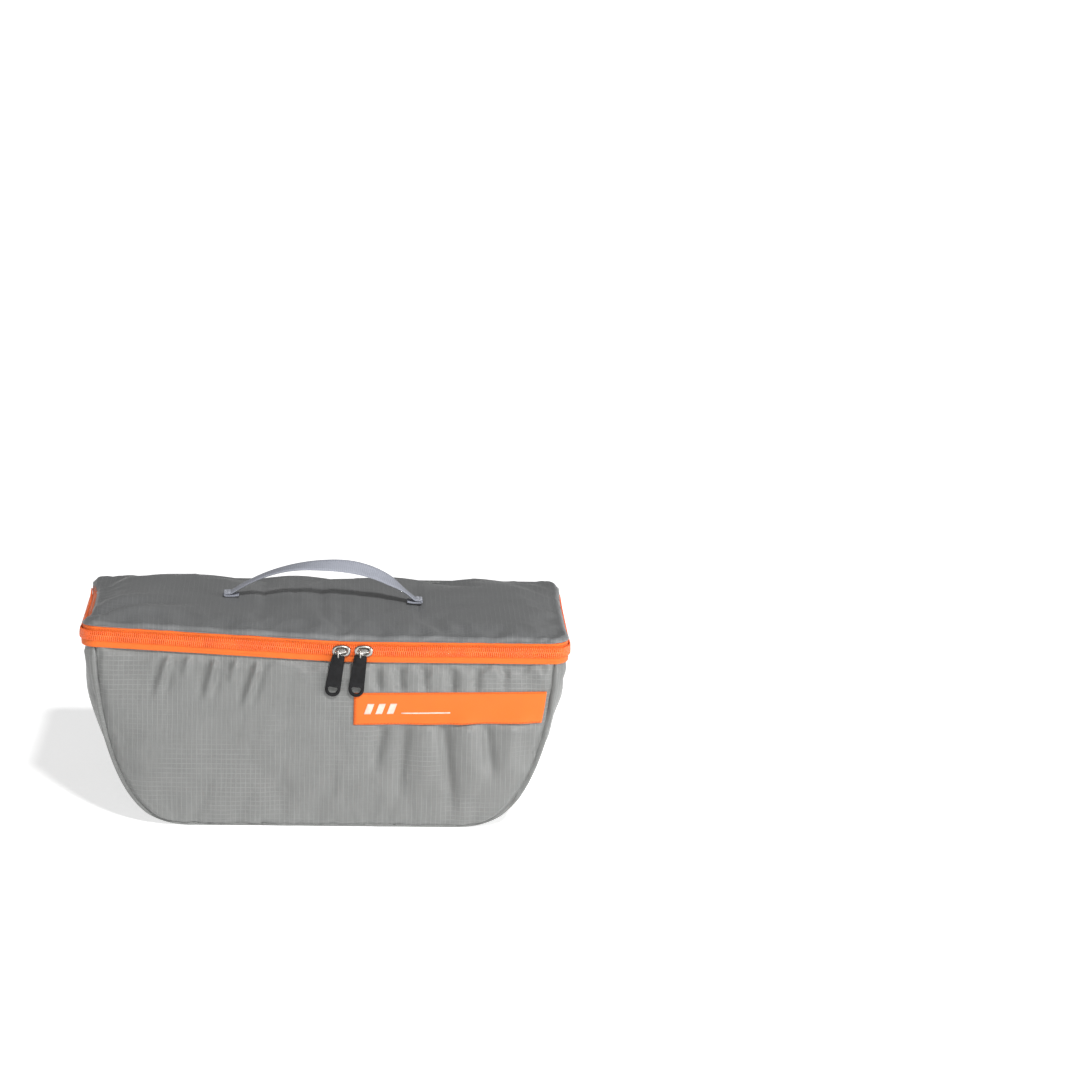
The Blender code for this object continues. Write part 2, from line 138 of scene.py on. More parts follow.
def corner_share(depth, corner):
    """How far out the gusset stands at a share of its depth: 0 at a seam, 1 on the flat."""
    into = np.clip((np.abs(depth) - (1 - corner)) / corner, 0, 1)
    return np.sqrt(np.clip(1 - into ** 2, 0, 1))


def crown(u, w, height):
    """Bulge of a panel, zero round its edge."""
    return height * (1 - u ** 4) * 4 * w * (1 - w)


def unit(vectors):
    """Each vector of the last axis at length 1."""
    return vectors / np.maximum(np.linalg.norm(vectors, axis=-1, keepdims=True), 1e-12)


def distance_along(path):
    """Distance from the start of a path to each of its points."""
    return np.concatenate([[0], np.cumsum(np.linalg.norm(np.diff(path, axis=0), axis=1))])


def grid_faces(index):
    """Quads over a grid of vertex numbers."""
    corners = [index[:-1, :-1], index[:-1, 1:], index[1:, 1:], index[1:, :-1]]
    return np.stack(corners, axis=-1).reshape(-1, 4)


def mend(mesh, weld=None, fill=None):
    """Welds points closer than weld, fills holes of up to fill sides and turns every face outwards."""
    work = bmesh.new()
    work.from_mesh(mesh)
    if weld:
        bmesh.ops.remove_doubles(work, verts=work.verts, dist=weld)
    if fill:
        bmesh.ops.holes_fill(work, edges=work.edges, sides=fill)
    bmesh.ops.recalc_face_normals(work, faces=work.faces)
    work.to_mesh(mesh)
    work.free()


def new_object(name, mesh, material=None):
    """Puts a finished mesh in the scene, smooth shaded."""
    if material:
        mesh.materials.append(material)
    mesh.shade_smooth()
    obj = bpy.data.objects.new(name, mesh)
    bpy.context.scene.collection.objects.link(obj)
    return obj


def attach(obj, body, slot, *nodes):
    """Puts a piece on its body, in place of CAD nodes. The slot argument is not used."""
    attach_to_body(obj, body)
    if nodes:
        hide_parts(*nodes)


def grid_object(name, points, uv, material):
    """Quads over an array of points, rows by columns, with a UV map in metres."""
    rows, columns, _ = points.shape
    faces = grid_faces(np.arange(rows * columns).reshape(rows, columns))
    mesh = bpy.data.meshes.new(name)
    mesh.from_pydata(points.reshape(-1, 3).tolist(), [], faces.tolist())
    layer = mesh.uv_layers.new(name="cloth")
    corners = np.zeros(len(mesh.loops), np.int32)
    mesh.loops.foreach_get("vertex_index", corners)
    layer.data.foreach_set("uv", uv.reshape(-1, 2)[corners].ravel().astype(np.float32))
    return new_object(name, mesh, material)


def thicken(obj, thickness, offset=-1.0):
    """Gives a sheet its thickness, and keeps it as plain mesh."""
    modifier = obj.modifiers.new("Thickness", "SOLIDIFY")
    modifier.thickness = thickness
    modifier.offset = offset
    graph = bpy.context.evaluated_depsgraph_get()
    mesh = bpy.data.meshes.new_from_object(obj.evaluated_get(graph))
    obj.modifiers.clear()
    obj.data = mesh


def arc_lengths(points):
    """Distance along each row of points."""
    steps = np.linalg.norm(np.diff(points, axis=1), axis=2)
    return np.concatenate([np.zeros((points.shape[0], 1)), np.cumsum(steps, axis=1)], axis=1)


def normals_of(points):
    """Unit normals of a grid, along columns cross rows."""
    return unit(np.cross(np.gradient(points, axis=1), np.gradient(points, axis=0)))


def sampled(field, u, v):
    """Bilinear value of a field kept on an even grid, at u and v from -1 to 1."""
    rows, columns, _ = field.shape
    x = np.clip((u + 1) / 2 * (columns - 1), 0, columns - 1.001)
    y = np.clip((v + 1) / 2 * (rows - 1), 0, rows - 1.001)
    i, j = x.astype(int), y.astype(int)
    a, b = (x - i)[..., None], (y - j)[..., None]
    low = field[j, i] * (1 - a) + field[j, i + 1] * a
    high = field[j + 1, i] * (1 - a) + field[j + 1, i + 1] * a
    return low * (1 - b) + high * b


# Blender's cloth settings for a light coated nylon.
NYLON = {
    "quality": 6, "mass": 0.12, "air_damping": 3,
    "tension_stiffness": 30, "compression_stiffness": 30, "shear_stiffness": 12, "bending_stiffness": 0.4,
    "tension_damping": 12, "compression_damping": 12, "bending_damping": 1.0,
}


def drape(name, place, columns, rows, slack, pressure, frames, cap):
    """Runs cloth over the surface place(u, v), held at its edges, and returns how each point moved.

    slack is how much larger than its frame the cloth is cut, which makes it pucker at the seams. cap is the
    most that a point may move.
    """
    u, v = np.meshgrid(np.linspace(-1, 1, columns), np.linspace(-1, 1, rows))
    start = place(u, v)
    obj = grid_object(name, start, np.zeros((*u.shape, 2)), None)
    edge = np.zeros(u.shape, bool)
    edge[[0, -1]] = True
    edge[:, [0, -1]] = True
    held = obj.vertex_groups.new(name="held")
    held.add(np.flatnonzero(edge.ravel()).tolist(), 1.0, "REPLACE")
    cloth = obj.modifiers.new("Cloth", "CLOTH")
    for key, value in NYLON.items():
        setattr(cloth.settings, key, value)
    cloth.settings.vertex_group_mass = "held"
    cloth.settings.shrink_min = -slack
    cloth.settings.use_pressure = True
    cloth.settings.uniform_pressure_force = pressure
    cloth.settings.effector_weights.gravity = 0.0
    cloth.collision_settings.use_collision = False
    cloth.point_cache.frame_start = 1
    cloth.point_cache.frame_end = frames
    scene = bpy.context.scene
    for step in range(1, frames + 1):
        scene.frame_set(step)
    graph = bpy.context.evaluated_depsgraph_get()
    result = obj.evaluated_get(graph).to_mesh()
    moved = np.zeros(len(result.vertices) * 3, np.float32)
    result.vertices.foreach_get("co", moved)
    obj.evaluated_get(graph).to_mesh_clear()
    scene.frame_set(1)
    bpy.data.objects.remove(obj)
    shift = moved.reshape(start.shape).astype(float) - start
    far = np.linalg.norm(shift, axis=2, keepdims=True)
    return shift * np.minimum(1.0, cap / np.maximum(far, 1e-9))


# ---------------------------------------------------------------- materials


class Nodes:
    """Short forms for building a material's nodes."""

    def __init__(self, name):
        self.material = bpy.data.materials.new(name)
        self.material.use_nodes = True
        self.tree = self.material.node_tree
        self.shader = self.tree.nodes["Principled BSDF"]

    def node(self, kind, **values):
        made = self.tree.nodes.new(kind)
        for key, value in values.items():
            setattr(made, key, value)
        return made

    def link(self, a, b):
        self.tree.links.new(a, b)

    def put(self, socket, value):
        if isinstance(value, bpy.types.NodeSocket):
            self.link(value, socket)
        else:
            socket.default_value = value

    def math(self, operation, a, b=0.0, c=0.0, clamp=False):
        made = self.node("ShaderNodeMath", operation=operation, use_clamp=clamp)
        for socket, value in zip(made.inputs, (a, b, c)):
            self.put(socket, value)
        return made.outputs[0]

    def mix(self, share, a, b):
        made = self.node("ShaderNodeMix", data_type="RGBA")
        self.put(made.inputs["Factor"], share)
        for socket, value in ((made.inputs["A"], a), (made.inputs["B"], b)):
            self.put(socket, (*value, 1.0) if isinstance(value, tuple) else value)
        return made.outputs["Result"]

    def ramp(self, value, low, high):
        made = self.node("ShaderNodeMapRange", interpolation_type="SMOOTHSTEP")
        self.put(made.inputs["Value"], value)
        made.inputs["From Min"].default_value = low
        made.inputs["From Max"].default_value = high
        return made.outputs["Result"]

    def noise(self, vector, scale, detail=2.0):
        made = self.node("ShaderNodeTexNoise")
        self.link(vector, made.inputs["Vector"])
        made.inputs["Scale"].default_value = scale
        made.inputs["Detail"].default_value = detail
        return made.outputs["Fac"]

    def place(self, uv=True):
        """The surface coordinates, in metres: the cloth's own map, or the object's."""
        if uv:
            return self.node("ShaderNodeUVMap", uv_map="cloth").outputs["UV"]
        return self.node("ShaderNodeTexCoord").outputs["Object"]

    def drawn_out(self, vector, scale, fineness):
        """Noise stretched along the axis whose scale is small."""
        made = self.node("ShaderNodeMapping")
        self.link(vector, made.inputs["Vector"])
        made.inputs["Scale"].default_value = scale
        return self.noise(made.outputs["Vector"], fineness, 2.0)

    def axes(self, vector):
        made = self.node("ShaderNodeSeparateXYZ")
        self.link(vector, made.inputs[0])
        return made.outputs[0], made.outputs[1], made.outputs[2]

    def lines(self, along, pitch, width):
        """Soft lines at every pitch: 1 on a line and 0 between."""
        turn = self.math("MULTIPLY", along, 1.0 / pitch)
        saw = self.math("FRACT", turn)
        off = self.math("ABSOLUTE", self.math("SUBTRACT", saw, 0.5))
        return self.ramp(off, 0.5 - width / pitch / 2, 0.5)

    def wave(self, along, pitch):
        """Sine wave between 0 and 1."""
        turn = self.math("MULTIPLY", along, 2 * pi / pitch)
        return self.math("MULTIPLY_ADD", self.math("SINE", turn), 0.5, 0.5)

    def finish(self, colour, rough, height, depth, metallic=0.0, sheen=0.0, specular=0.5):
        """The material, with its colour, roughness and a bump of the given depth in metres."""
        shader = self.shader
        self.put(shader.inputs["Base Color"], colour)
        self.put(shader.inputs["Roughness"], rough)
        shader.inputs["Metallic"].default_value = metallic
        shader.inputs["Sheen Weight"].default_value = sheen
        shader.inputs["Specular IOR Level"].default_value = specular
        bump = self.node("ShaderNodeBump")
        bump.inputs["Strength"].default_value = 1.0
        bump.inputs["Distance"].default_value = depth
        self.link(height, bump.inputs["Height"])
        self.link(bump.outputs["Normal"], shader.inputs["Normal"])
        return self.material


# The ripstop's grid of thick threads and its plain weave, in metres, and the scale of its yarn's unevenness.
RIP_PITCH, RIP_WIDTH, WEAVE_PITCH = 0.0031, 0.0008, 0.00042
YARN_FINENESS = 1500.0


def ripstop(name, base, bright):
    """Satin nylon with a grid of thicker threads, stronger along the warp."""
    n = Nodes(name)
    place = n.place()
    x, y, _ = n.axes(place)
    patch = n.noise(place, 55.0, 3.0)
    warp = n.lines(x, RIP_PITCH, RIP_WIDTH)
    weft = n.lines(y, RIP_PITCH, RIP_WIDTH)
    weft_share = n.ramp(n.noise(place, 17.0), 0.45, 0.64)
    warp_share = n.math("MULTIPLY_ADD", n.ramp(n.noise(place, 23.0), 0.32, 0.66), 0.55, 0.45)
    threads = n.math("MAXIMUM", n.math("MULTIPLY", warp, warp_share), n.math("MULTIPLY", weft, weft_share))
    weave = n.math("MULTIPLY", n.wave(x, WEAVE_PITCH), n.wave(y, WEAVE_PITCH))
    streaks = n.drawn_out(place, (1.0, 0.06, 1.0), YARN_FINENESS)
    slubs = n.drawn_out(place, (0.07, 1.0, 1.0), YARN_FINENESS)
    yarn = n.math("MULTIPLY_ADD", streaks, 0.34, n.math("MULTIPLY", slubs, 0.18))
    worn = n.math("MULTIPLY_ADD", patch, 0.30, -0.10, clamp=True)
    shade = n.math("MULTIPLY_ADD", threads, 0.33, worn, clamp=True)
    shade = n.math("ADD", shade, yarn, clamp=True)
    colour = n.mix(shade, base, bright)
    rough = n.math("MULTIPLY_ADD", patch, 0.15, 0.335)
    height = n.math("MULTIPLY_ADD", threads, 0.8, n.math("MULTIPLY", weave, 0.3))
    height = n.math("MULTIPLY_ADD", yarn, 0.5, height)
    return n.finish(colour, rough, height, 0.00011, sheen=0.10, specular=0.52)


def tape_weave(name, base, dark, pitch=0.0007, across=True, uv=True):
    """Ribbed woven tape."""
    n = Nodes(name)
    place = n.place(uv)
    x, y, _ = n.axes(place)
    ribs = n.wave(y if across else x, pitch)
    picks = n.wave(x if across else y, pitch * 1.4)
    patch = n.noise(place, 160.0, 3.0)
    shade = n.math("ADD", n.math("MULTIPLY", ribs, 0.45), n.math("MULTIPLY", patch, 0.55))
    colour = n.mix(shade, dark, base)
    height = n.math("ADD", n.math("MULTIPLY", ribs, 0.7), n.math("MULTIPLY", picks, 0.4))
    rough = n.math("MULTIPLY_ADD", patch, 0.2, 0.6)
    return n.finish(colour, rough, height, 0.00010, sheen=0.1, specular=0.3)


def plain(name, base, other, rough, grain, depth, metallic=0.0, specular=0.5):
    """Moulded, cast or spun surface: two tones and a fine grain."""
    n = Nodes(name)
    place = n.place(uv=False)
    patch = n.noise(place, grain / 8, 3.0)
    fine = n.noise(place, grain, 4.0)
    colour = n.mix(n.ramp(patch, 0.35, 0.68), base, other)
    roughness = n.math("MULTIPLY_ADD", fine, 0.25, rough - 0.12)
    return n.finish(colour, roughness, fine, depth, metallic, specular=specular)


cloth_grey = ripstop("ripstop_grey", (0.116, 0.119, 0.116), (0.262, 0.267, 0.259))
# The lid is the same ripstop as the rest of the cube, set darker: painted shade, as its top faces the lamps
# less than the front does.
lid_grey_painted_shade = ripstop("ripstop_lid", (0.105, 0.108, 0.110), (0.235, 0.239, 0.241))
tape_orange = tape_weave("zip_tape_orange", (0.83, 0.165, 0.022), (0.66, 0.115, 0.012))
coil_orange = plain("coil_orange", (0.88, 0.150, 0.021), (0.76, 0.118, 0.016), 0.36, 900, 0.00003)
stitch_orange = plain("stitch_orange", (0.66, 0.100, 0.016), (0.50, 0.066, 0.010), 0.7, 2500, 0.00005)
label_orange = tape_weave("label_orange", (0.84, 0.165, 0.022), (0.76, 0.140, 0.017), 0.0004)
label_print = plain("label_print", (0.66, 0.56, 0.48), (0.58, 0.47, 0.39), 0.6, 3000, 0.00003)
webbing_grey = tape_weave("webbing_grey", (0.345, 0.360, 0.410), (0.235, 0.245, 0.285), 0.0013, False)
thread_grey = plain("thread_grey", (0.40, 0.415, 0.46), (0.31, 0.32, 0.36), 0.7, 2500, 0.00006)
binding_dark = tape_weave("binding_dark", (0.10, 0.10, 0.10), (0.06, 0.06, 0.06), 0.0008, uv=False)
nickel = plain("nickel", (0.50, 0.49, 0.46), (0.40, 0.39, 0.37), 0.27, 1200, 0.00002, metallic=1.0)
tab_black = plain(
    "tab_black", (0.004, 0.004, 0.0045), (0.008, 0.008, 0.009), 0.48, 2600, 0.00003, specular=0.22
)

# The inner tapes and patches keep their CAD shape.
for node in (
    "body_rim_binding", "lid_rim_binding", "front_seam_binding", "back_seam_binding",
    "hinge_binding", "handle_patch_left", "handle_patch_right",
):
    for material_slot in frame["nodes"][node].material_slots:
        material_slot.material = binding_dark
for node in ("zip_end_left", "zip_end_right"):
    soft = frame["nodes"][node].modifiers.new("Soft edge", "BEVEL")
    soft.width = 0.0005
    soft.segments = 3
    for material_slot in frame["nodes"][node].material_slots:
        material_slot.material = tape_weave(
            node + "_cloth", (0.19, 0.194, 0.19), (0.13, 0.133, 0.13), 0.0005, uv=False
        )


# ---------------------------------------------------------------- fabric panels


def seam_xz(s, top):
    """Seam outline in X and Z, and the share of the height. s runs from -1, top left, to 1."""
    flat = 0.10
    far = np.clip((np.abs(s) - flat) / (1 - flat), 0, 1) ** 3
    x = np.where(np.abs(s) <= flat, s / flat * BASE_HALF, np.sign(s) * seam_half(far))
    return x, SEAM_Z + far * (top - SEAM_Z), far


def height_share(v):
    """Share of a panel's height for v from -1 to 1, with rows closer together near the base."""
    return ((v + 1) / 2) ** 1.6


def panel_place(side, height, top_of):
    """Base surface of the front (side -1) or back (side 1) panel."""

    def place(u, v):
        w = height_share(v)
        half = seam_half(w)
        x = KINK_X * (1 - np.abs(u)) + u * half
        y = side * (DEPTH + crown(x / half, w, height))
        x = -side * x
        z = SEAM_Z + w * (top_of(x) - SEAM_Z)
        return np.stack([x, y, z], axis=-1)

    return place


def front_top(x):
    """Height of the front panel's top edge."""
    return rim_z(x, -DEPTH) - BAND + UNDER_TAPE


def back_top(x):
    """Height of the back panel's top edge."""
    return np.full_like(x, HINGE.z - HINGE_BELOW)


def label_zone(x, z):
    """1 behind the label and 0 away from it."""
    low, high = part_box("label_strip")
    inside = smooth(x, low[0] - 0.006, low[0] + 0.002) * smooth(z, low[2] - 0.003, low[2] + 0.002)
    return inside * (1 - smooth(z, high[2] - 0.002, high[2] + 0.003))


def crease(x, z, start, end, width, height):
    """A soft ridge, or a valley with a negative height, between two places."""
    (x0, z0), (x1, z1) = start, end
    length = np.hypot(x1 - x0, z1 - z0)
    along = ((x - x0) * (x1 - x0) + (z - z0) * (z1 - z0)) / length ** 2
    across = ((x - x0) * (z1 - z0) - (z - z0) * (x1 - x0)) / length
    ends = smooth(along, -0.12, 0.22) * (1 - smooth(along, 0.62, 1.10))
    return height * np.exp(-(across / width) ** 2) * ends


# Ridges that the zip's seam pulls into the front panel at the left, from top to bottom.
PULLS = (
    ((-0.0990, 0.1110), (-0.1060, 0.0850), 0.0021, 0.0027),
    ((-0.0690, 0.1105), (-0.0755, 0.0830), 0.0023, 0.0030),
    ((-0.0420, 0.1085), (-0.0510, 0.0790), 0.0023, 0.0030),
    ((-0.0860, 0.1120), (-0.0890, 0.0980), 0.0020, 0.0013),
    ((-0.0560, 0.1100), (-0.0600, 0.0930), 0.0020, 0.0014),
)
# Valleys between the zip and the label, and below the label.
VALLEYS = (
    ((0.0320, 0.1085), (0.0335, 0.0860), 0.0032, -0.0030),
    ((0.0462, 0.1085), (0.0480, 0.0860), 0.0033, -0.0032),
    ((0.0612, 0.1085), (0.0640, 0.0860), 0.0030, -0.0025),
    ((0.0800, 0.1080), (0.0805, 0.0860), 0.0033, -0.0032),
    ((0.0960, 0.1085), (0.0945, 0.0860), 0.0032, -0.0025),
    ((0.1125, 0.1080), (0.1140, 0.0870), 0.0028, -0.0018),
    ((0.0372, 0.0740), (0.0315, 0.0380), 0.0040, -0.0032),
    ((0.0510, 0.0750), (0.0470, 0.0150), 0.0039, -0.0033),
    ((0.0745, 0.0750), (0.0825, 0.0080), 0.0040, -0.0039),
    ((0.1012, 0.0750), (0.1068, 0.0330), 0.0037, -0.0033),
    ((0.0630, 0.0750), (0.0650, 0.0250), 0.0060, 0.0019),
    ((0.0890, 0.0750), (0.0960, 0.0250), 0.0070, 0.0023),
    ((0.1190, 0.0800), (0.1180, 0.0350), 0.0060, 0.0018),
)


def front_folds(x, z):
    """How far the front panel's folds stand out."""
    out = np.zeros_like(x)
    for start, end, width, height in VALLEYS:
        out = out + crease(x, z, start, end, width, height)
    for start, end, width, height in PULLS:
        out = out + crease(x, z, start, end, width, height)
        for side in (-1, 1):
            out = out + crease(x + side * 0.0042, z, start, end, width * 1.2, -0.6 * height)
    fine = waves(x, z * 0.35, 0.022, 17) * smooth(z, 0.02, 0.09)
    soft = waves(x, z * 0.6, 0.085, 21)
    return out + 0.00035 * fine + 0.0009 * soft * smooth(z, 0.004, 0.03)


def scallop(x, to_top):
    """Gathered edge below the zip: tucked in at the seam, then a lip that comes out unevenly."""
    gather = folds(x, 0.0125, 23)
    part = 0.35 + 0.65 * smooth(x, -0.125, -0.05)
    reach = 0.0046 * (1 + 0.42 * gather * part)
    tuck = 0.0019 * np.exp(-(to_top / reach) ** 2)
    lip = 0.0010 * part * (0.55 + 0.45 * gather) * np.exp(-((to_top - 1.75 * reach) / 0.0024) ** 2)
    return lip - tuck


def edge_axis(count, length, fine, reach):
    """Values from -1 to 1 with extra ones within reach of both ends."""
    inner = np.linspace(-1 + reach / length * 2, 1 - reach / length * 2, count)
    ends = np.linspace(0, reach / length * 2, fine, endpoint=False)
    return np.concatenate([-1 + ends, inner, (1 - ends)[::-1]])


def groove(distance):
    """How far the cloth turns in at a seam."""
    return GROOVE_DEEP * np.exp(-(distance / GROOVE_WIDE) ** 2)


def pucker(along, seed):
    """Small unevenness along a seam, in metres."""
    return 0.00045 * waves(along, np.zeros_like(along), 0.013, seed, 6)


def make_panel(name, side, height, top_of, folded):
    """The front (side -1) or back (side 1) panel. A folded one has the photo's folds, a gathered edge under
    the zip and a flatter patch behind the label.
    """
    place = panel_place(side, height, top_of)
    moved = drape(name + "_drape", place, 116, 50, 0.012, 1.6, 22, 0.0040)
    u, v = np.meshgrid(edge_axis(190, 0.288, 10, 0.009), edge_axis(78, 0.11, 8, 0.006))
    base = place(u, v)
    x, z = base[..., 0], base[..., 2]
    shift = sampled(moved, u, v)
    if folded:
        shift[..., 1] *= 1 - 0.65 * smooth(z, 0.035, 0.085)
    points = base + shift
    to_side = (1 - np.abs(u)) * seam_half(height_share(v))
    to_base = z - SEAM_Z
    to_seam = np.minimum(to_side, to_base)
    if folded:
        flat = label_zone(x, z)
        to_top = np.maximum(0, top_of(x) - UNDER_TAPE - z)
        lift = front_folds(x, z) * smooth(to_seam, 0.0, 0.012) * (1 - 0.85 * flat)
        lift = lift * smooth(to_top, 0.0005, 0.007) + scallop(x, to_top) * smooth(to_side, 0.0, 0.008)
        points[..., 1] += side * lift
        points[..., 1] -= side * flat * 0.5 * np.abs(shift[..., 1])
        points[..., 1] -= side * 0.0011 * (1 - flat) * smooth(z, 0.060, 0.092) * smooth(to_side, 0.002, 0.02)
        # The pull tabs slide past here, so the cloth stands out less.
        most = 0.0014 * (1 - 0.6 * flat)
        out = np.maximum(0, -DEPTH - 0.0012 - points[..., 1])
        points[..., 1] += (out - most * np.tanh(out / most)) * smooth(z, 0.062, 0.090)
    else:
        lift = 0.0012 * waves(x, z, 0.05, 31) * smooth(to_seam, 0.0, 0.02)
        points[..., 1] += side * lift
    turn = groove(to_side + pucker(z, 41)) + groove(to_base + pucker(x, 43))
    points[..., 1] -= side * np.minimum(turn, GROOVE_DEEP)
    # The turned-in edge reaches under the gusset, so the seam has no gaps.
    points[..., 0] += np.sign(x) * 0.0008 * np.exp(-(to_side / 0.0015) ** 2)
    points[..., 2] -= 0.0005 * np.exp(-(to_base / 0.0015) ** 2)
    uv = np.stack([x, z], axis=-1)
    obj = grid_object(name, points, uv, cloth_grey)
    thicken(obj, CLOTH_THICK)
    return obj, points


def gusset_axis():
    """Shares of the depth across the gusset, close together near both seams."""
    angle = np.linspace(0, pi / 2, 15)
    corner = 0.30
    rise = 1 - corner + corner * np.sin(angle)
    middle = np.linspace(-(1 - corner), 1 - corner, 40)
    return np.concatenate([-rise[::-1], middle[1:-1], rise])


def gusset_base(s, forward):
    """Base surface of the gusset at a share s along its strip and a share of the depth, 1 at the front."""
    depth = -forward
    _, _, rise = seam_xz(s, 1.0)
    corner = CORNER_LOW + (CORNER_HIGH - CORNER_LOW) * rise
    y = depth * DEPTH
    side = np.where(s >= 0, 1.0, -1.0)
    top = rim_z(side * TOP_HALF, y) - BAND + UNDER_TAPE
    high = rise ** 6
    rear = smooth(y, 0.062, 0.072) * high + smooth(y, -0.06, DEPTH) * (1 - high)
    top = top + rear * (HINGE.z - HINGE_BELOW - top)
    x, z, _ = seam_xz(s, top)
    step = 0.004
    x0, z0, _ = seam_xz(np.clip(s - step, -1, 1), top)
    x1, z1, _ = seam_xz(np.clip(s + step, -1, 1), top)
    length = np.hypot(x1 - x0, z1 - z0)
    out_x, out_z = (z1 - z0) / length, -(x1 - x0) / length
    bulge = BULGE_LOW + (BULGE_HIGH - BULGE_LOW) * rise ** 2
    out = bulge * corner_share(depth, corner)
    return np.stack([x + out_x * out, y, np.maximum(0, z + out_z * out * (1 - rise))], axis=-1)


def make_gusset():
    """The strip that makes both sides and the base."""
    moved = drape("gusset_drape", gusset_base, 170, 52, 0.010, 1.2, 20, 0.0035)
    s = np.concatenate([np.linspace(-1, -0.1, 88), np.linspace(-0.1, 0.1, 26)[1:-1], np.linspace(0.1, 1, 88)])
    u, t = np.meshgrid(s, gusset_axis())
    base = gusset_base(u, t)
    _, _, rise = seam_xz(u, 1.0)
    shift = sampled(moved, u, t)
    on_floor = smooth(base[..., 2], 0.0005, 0.010)
    points = base + shift * on_floor[..., None]
    out = normals_of(base)
    along = arc_lengths(base)
    wide = DEPTH * (1 - np.abs(t))
    soft = 0.0011 * waves(along, base[..., 1], 0.06, 51) + 0.0007 * waves(along * 0.4, base[..., 1], 0.03, 53)
    points += out * (soft * on_floor * smooth(wide, 0.0, 0.02))[..., None]
    off = arc_lengths(base.transpose(1, 0, 2)).T
    from_seam = np.minimum(off, off[-1:] - off)
    turn = groove(from_seam + pucker(along, 55))
    points[..., 1] += np.where(t > 0, 1, -1) * turn
    ridge = 0.0007 * np.exp(-((from_seam - 0.0032) / 0.0016) ** 2) * on_floor
    points += out * ridge[..., None]
    from_top = np.maximum(0, np.minimum(along, along[:, -1:] - along) - UNDER_TAPE)
    under = folds(base[..., 1], 0.014, 57)
    points -= out * (0.0021 * np.exp(-(from_top / (0.0046 * (1 + 0.3 * under))) ** 2))[..., None]
    points[..., 2] = np.maximum(points[..., 2], 0.0)
    uv = np.stack([base[..., 1], along], axis=-1)
    obj = grid_object("gusset_cloth", points, uv, cloth_grey)
    thicken(obj, CLOTH_THICK)
    return obj


def rim_soft(x, y):
    """Rim height with the front's kink smoothed out towards the rear."""
    reach = 0.05 * smooth(y, -0.0795, -0.045)
    steps = (-1, -0.6, -0.25, 0, 0.25, 0.6, 1)
    return sum(rim_z(x + step * reach, y) for step in steps) / len(steps)


def side_lean(x, y):
    """How far the zip's upper half leans in along the sides, more on the left."""
    return np.where(x < 0, 0.0050, 0.0014) * smooth(y, -0.079, -0.036) * (1 - smooth(y, 0.018, 0.070))


def lid_base(u, v):
    """Base surface of the lid."""
    y = v * DEPTH
    corner = corner_share(v, CORNER_HIGH)
    half = TOP_HALF + BULGE_HIGH * corner - side_lean(u, y)
    x = KINK_X * (1 - np.abs(u)) + u * half
    swell = (1 - np.abs(x / half) ** 7) * (1 - np.abs(v) ** 7)
    z = rim_soft(x, y) + BAND + LID_CROWN * swell + 0.0006
    rear = smooth(v, 0.93, 1.0)
    z = z + rear * (HINGE.z + HINGE_ABOVE - z)
    return np.stack([x, y - 0.0007 * rear, z], axis=-1)


def lid_axis():
    """Shares of the depth across the lid, close together near its front and rear edges."""
    angle = np.linspace(0, pi / 2, 13)
    rise = 0.8 + 0.2 * np.sin(angle)
    return np.concatenate([-rise[::-1], np.linspace(-0.8, 0.8, 48)[1:-1], rise])


def lid_folds(x, y):
    """Folds of the lid: small puckers along its front edge and a dip behind the left corner."""
    from_front = y + DEPTH
    near = np.exp(-(from_front / 0.018) ** 2) * smooth(from_front, 0.0, 0.004)
    right = smooth(x, 0.045, 0.075) * (1 - smooth(x, 0.13, 0.15))
    out = 0.0016 * near * folds(x + 0.5 * from_front, 0.017, 61) * (0.25 + right)
    out = out + 0.0010 * near * folds(x, 0.03, 63)
    along = (x + 0.132) * 0.90 + (y + 0.040) * 0.44
    across = -(x + 0.132) * 0.44 + (y + 0.040) * 0.90
    out = out - 0.0052 * np.exp(-(along / 0.030) ** 2 - (across / 0.0085) ** 2)
    out = out + 0.0030 * np.exp(-(along / 0.034) ** 2 - ((across + 0.018) / 0.010) ** 2)
    out = out + 0.0026 * np.exp(-(along / 0.028) ** 2 - ((across - 0.016) / 0.009) ** 2)
    out = out - 0.0012 * np.exp(-((x - 0.062) / 0.05) ** 2 - ((y + 0.01 - 0.25 * (x - 0.06)) / 0.012) ** 2)
    return out + 0.0010 * waves(x, y, 0.09, 65)


def make_lid():
    """The lid panel, with its folds and its turned edge."""
    moved = drape("lid_drape", lid_base, 124, 64, 0.012, 1.2, 22, 0.0035)
    u, v = np.meshgrid(edge_axis(124, 0.31, 10, 0.012), lid_axis())
    base = lid_base(u, v)
    points = base + sampled(moved, u, v)
    x, y = base[..., 0], base[..., 1]
    edge = np.minimum((1 - np.abs(u)) * SIDE_X, (1 - np.abs(v)) * DEPTH)
    points[..., 2] += lid_folds(x, y) * smooth(edge, 0.0, 0.010)
    turn = 0.0016 * np.exp(-(edge + pucker(x + y, 67)) ** 2 / 0.0016 ** 2)
    points[..., 2] -= turn * (1 - smooth(v, 0.9, 0.99))
    points[..., 2] += 0.0006 * np.exp(-((edge - 0.0032) / 0.0016) ** 2)
    # The lid's cloth takes the darker copy of the ripstop, which carries painted shade.
    obj = grid_object("lid_cloth", points, np.stack([x, y], axis=-1), lid_grey_painted_shade)
    thicken(obj, CLOTH_THICK)
    return obj, points


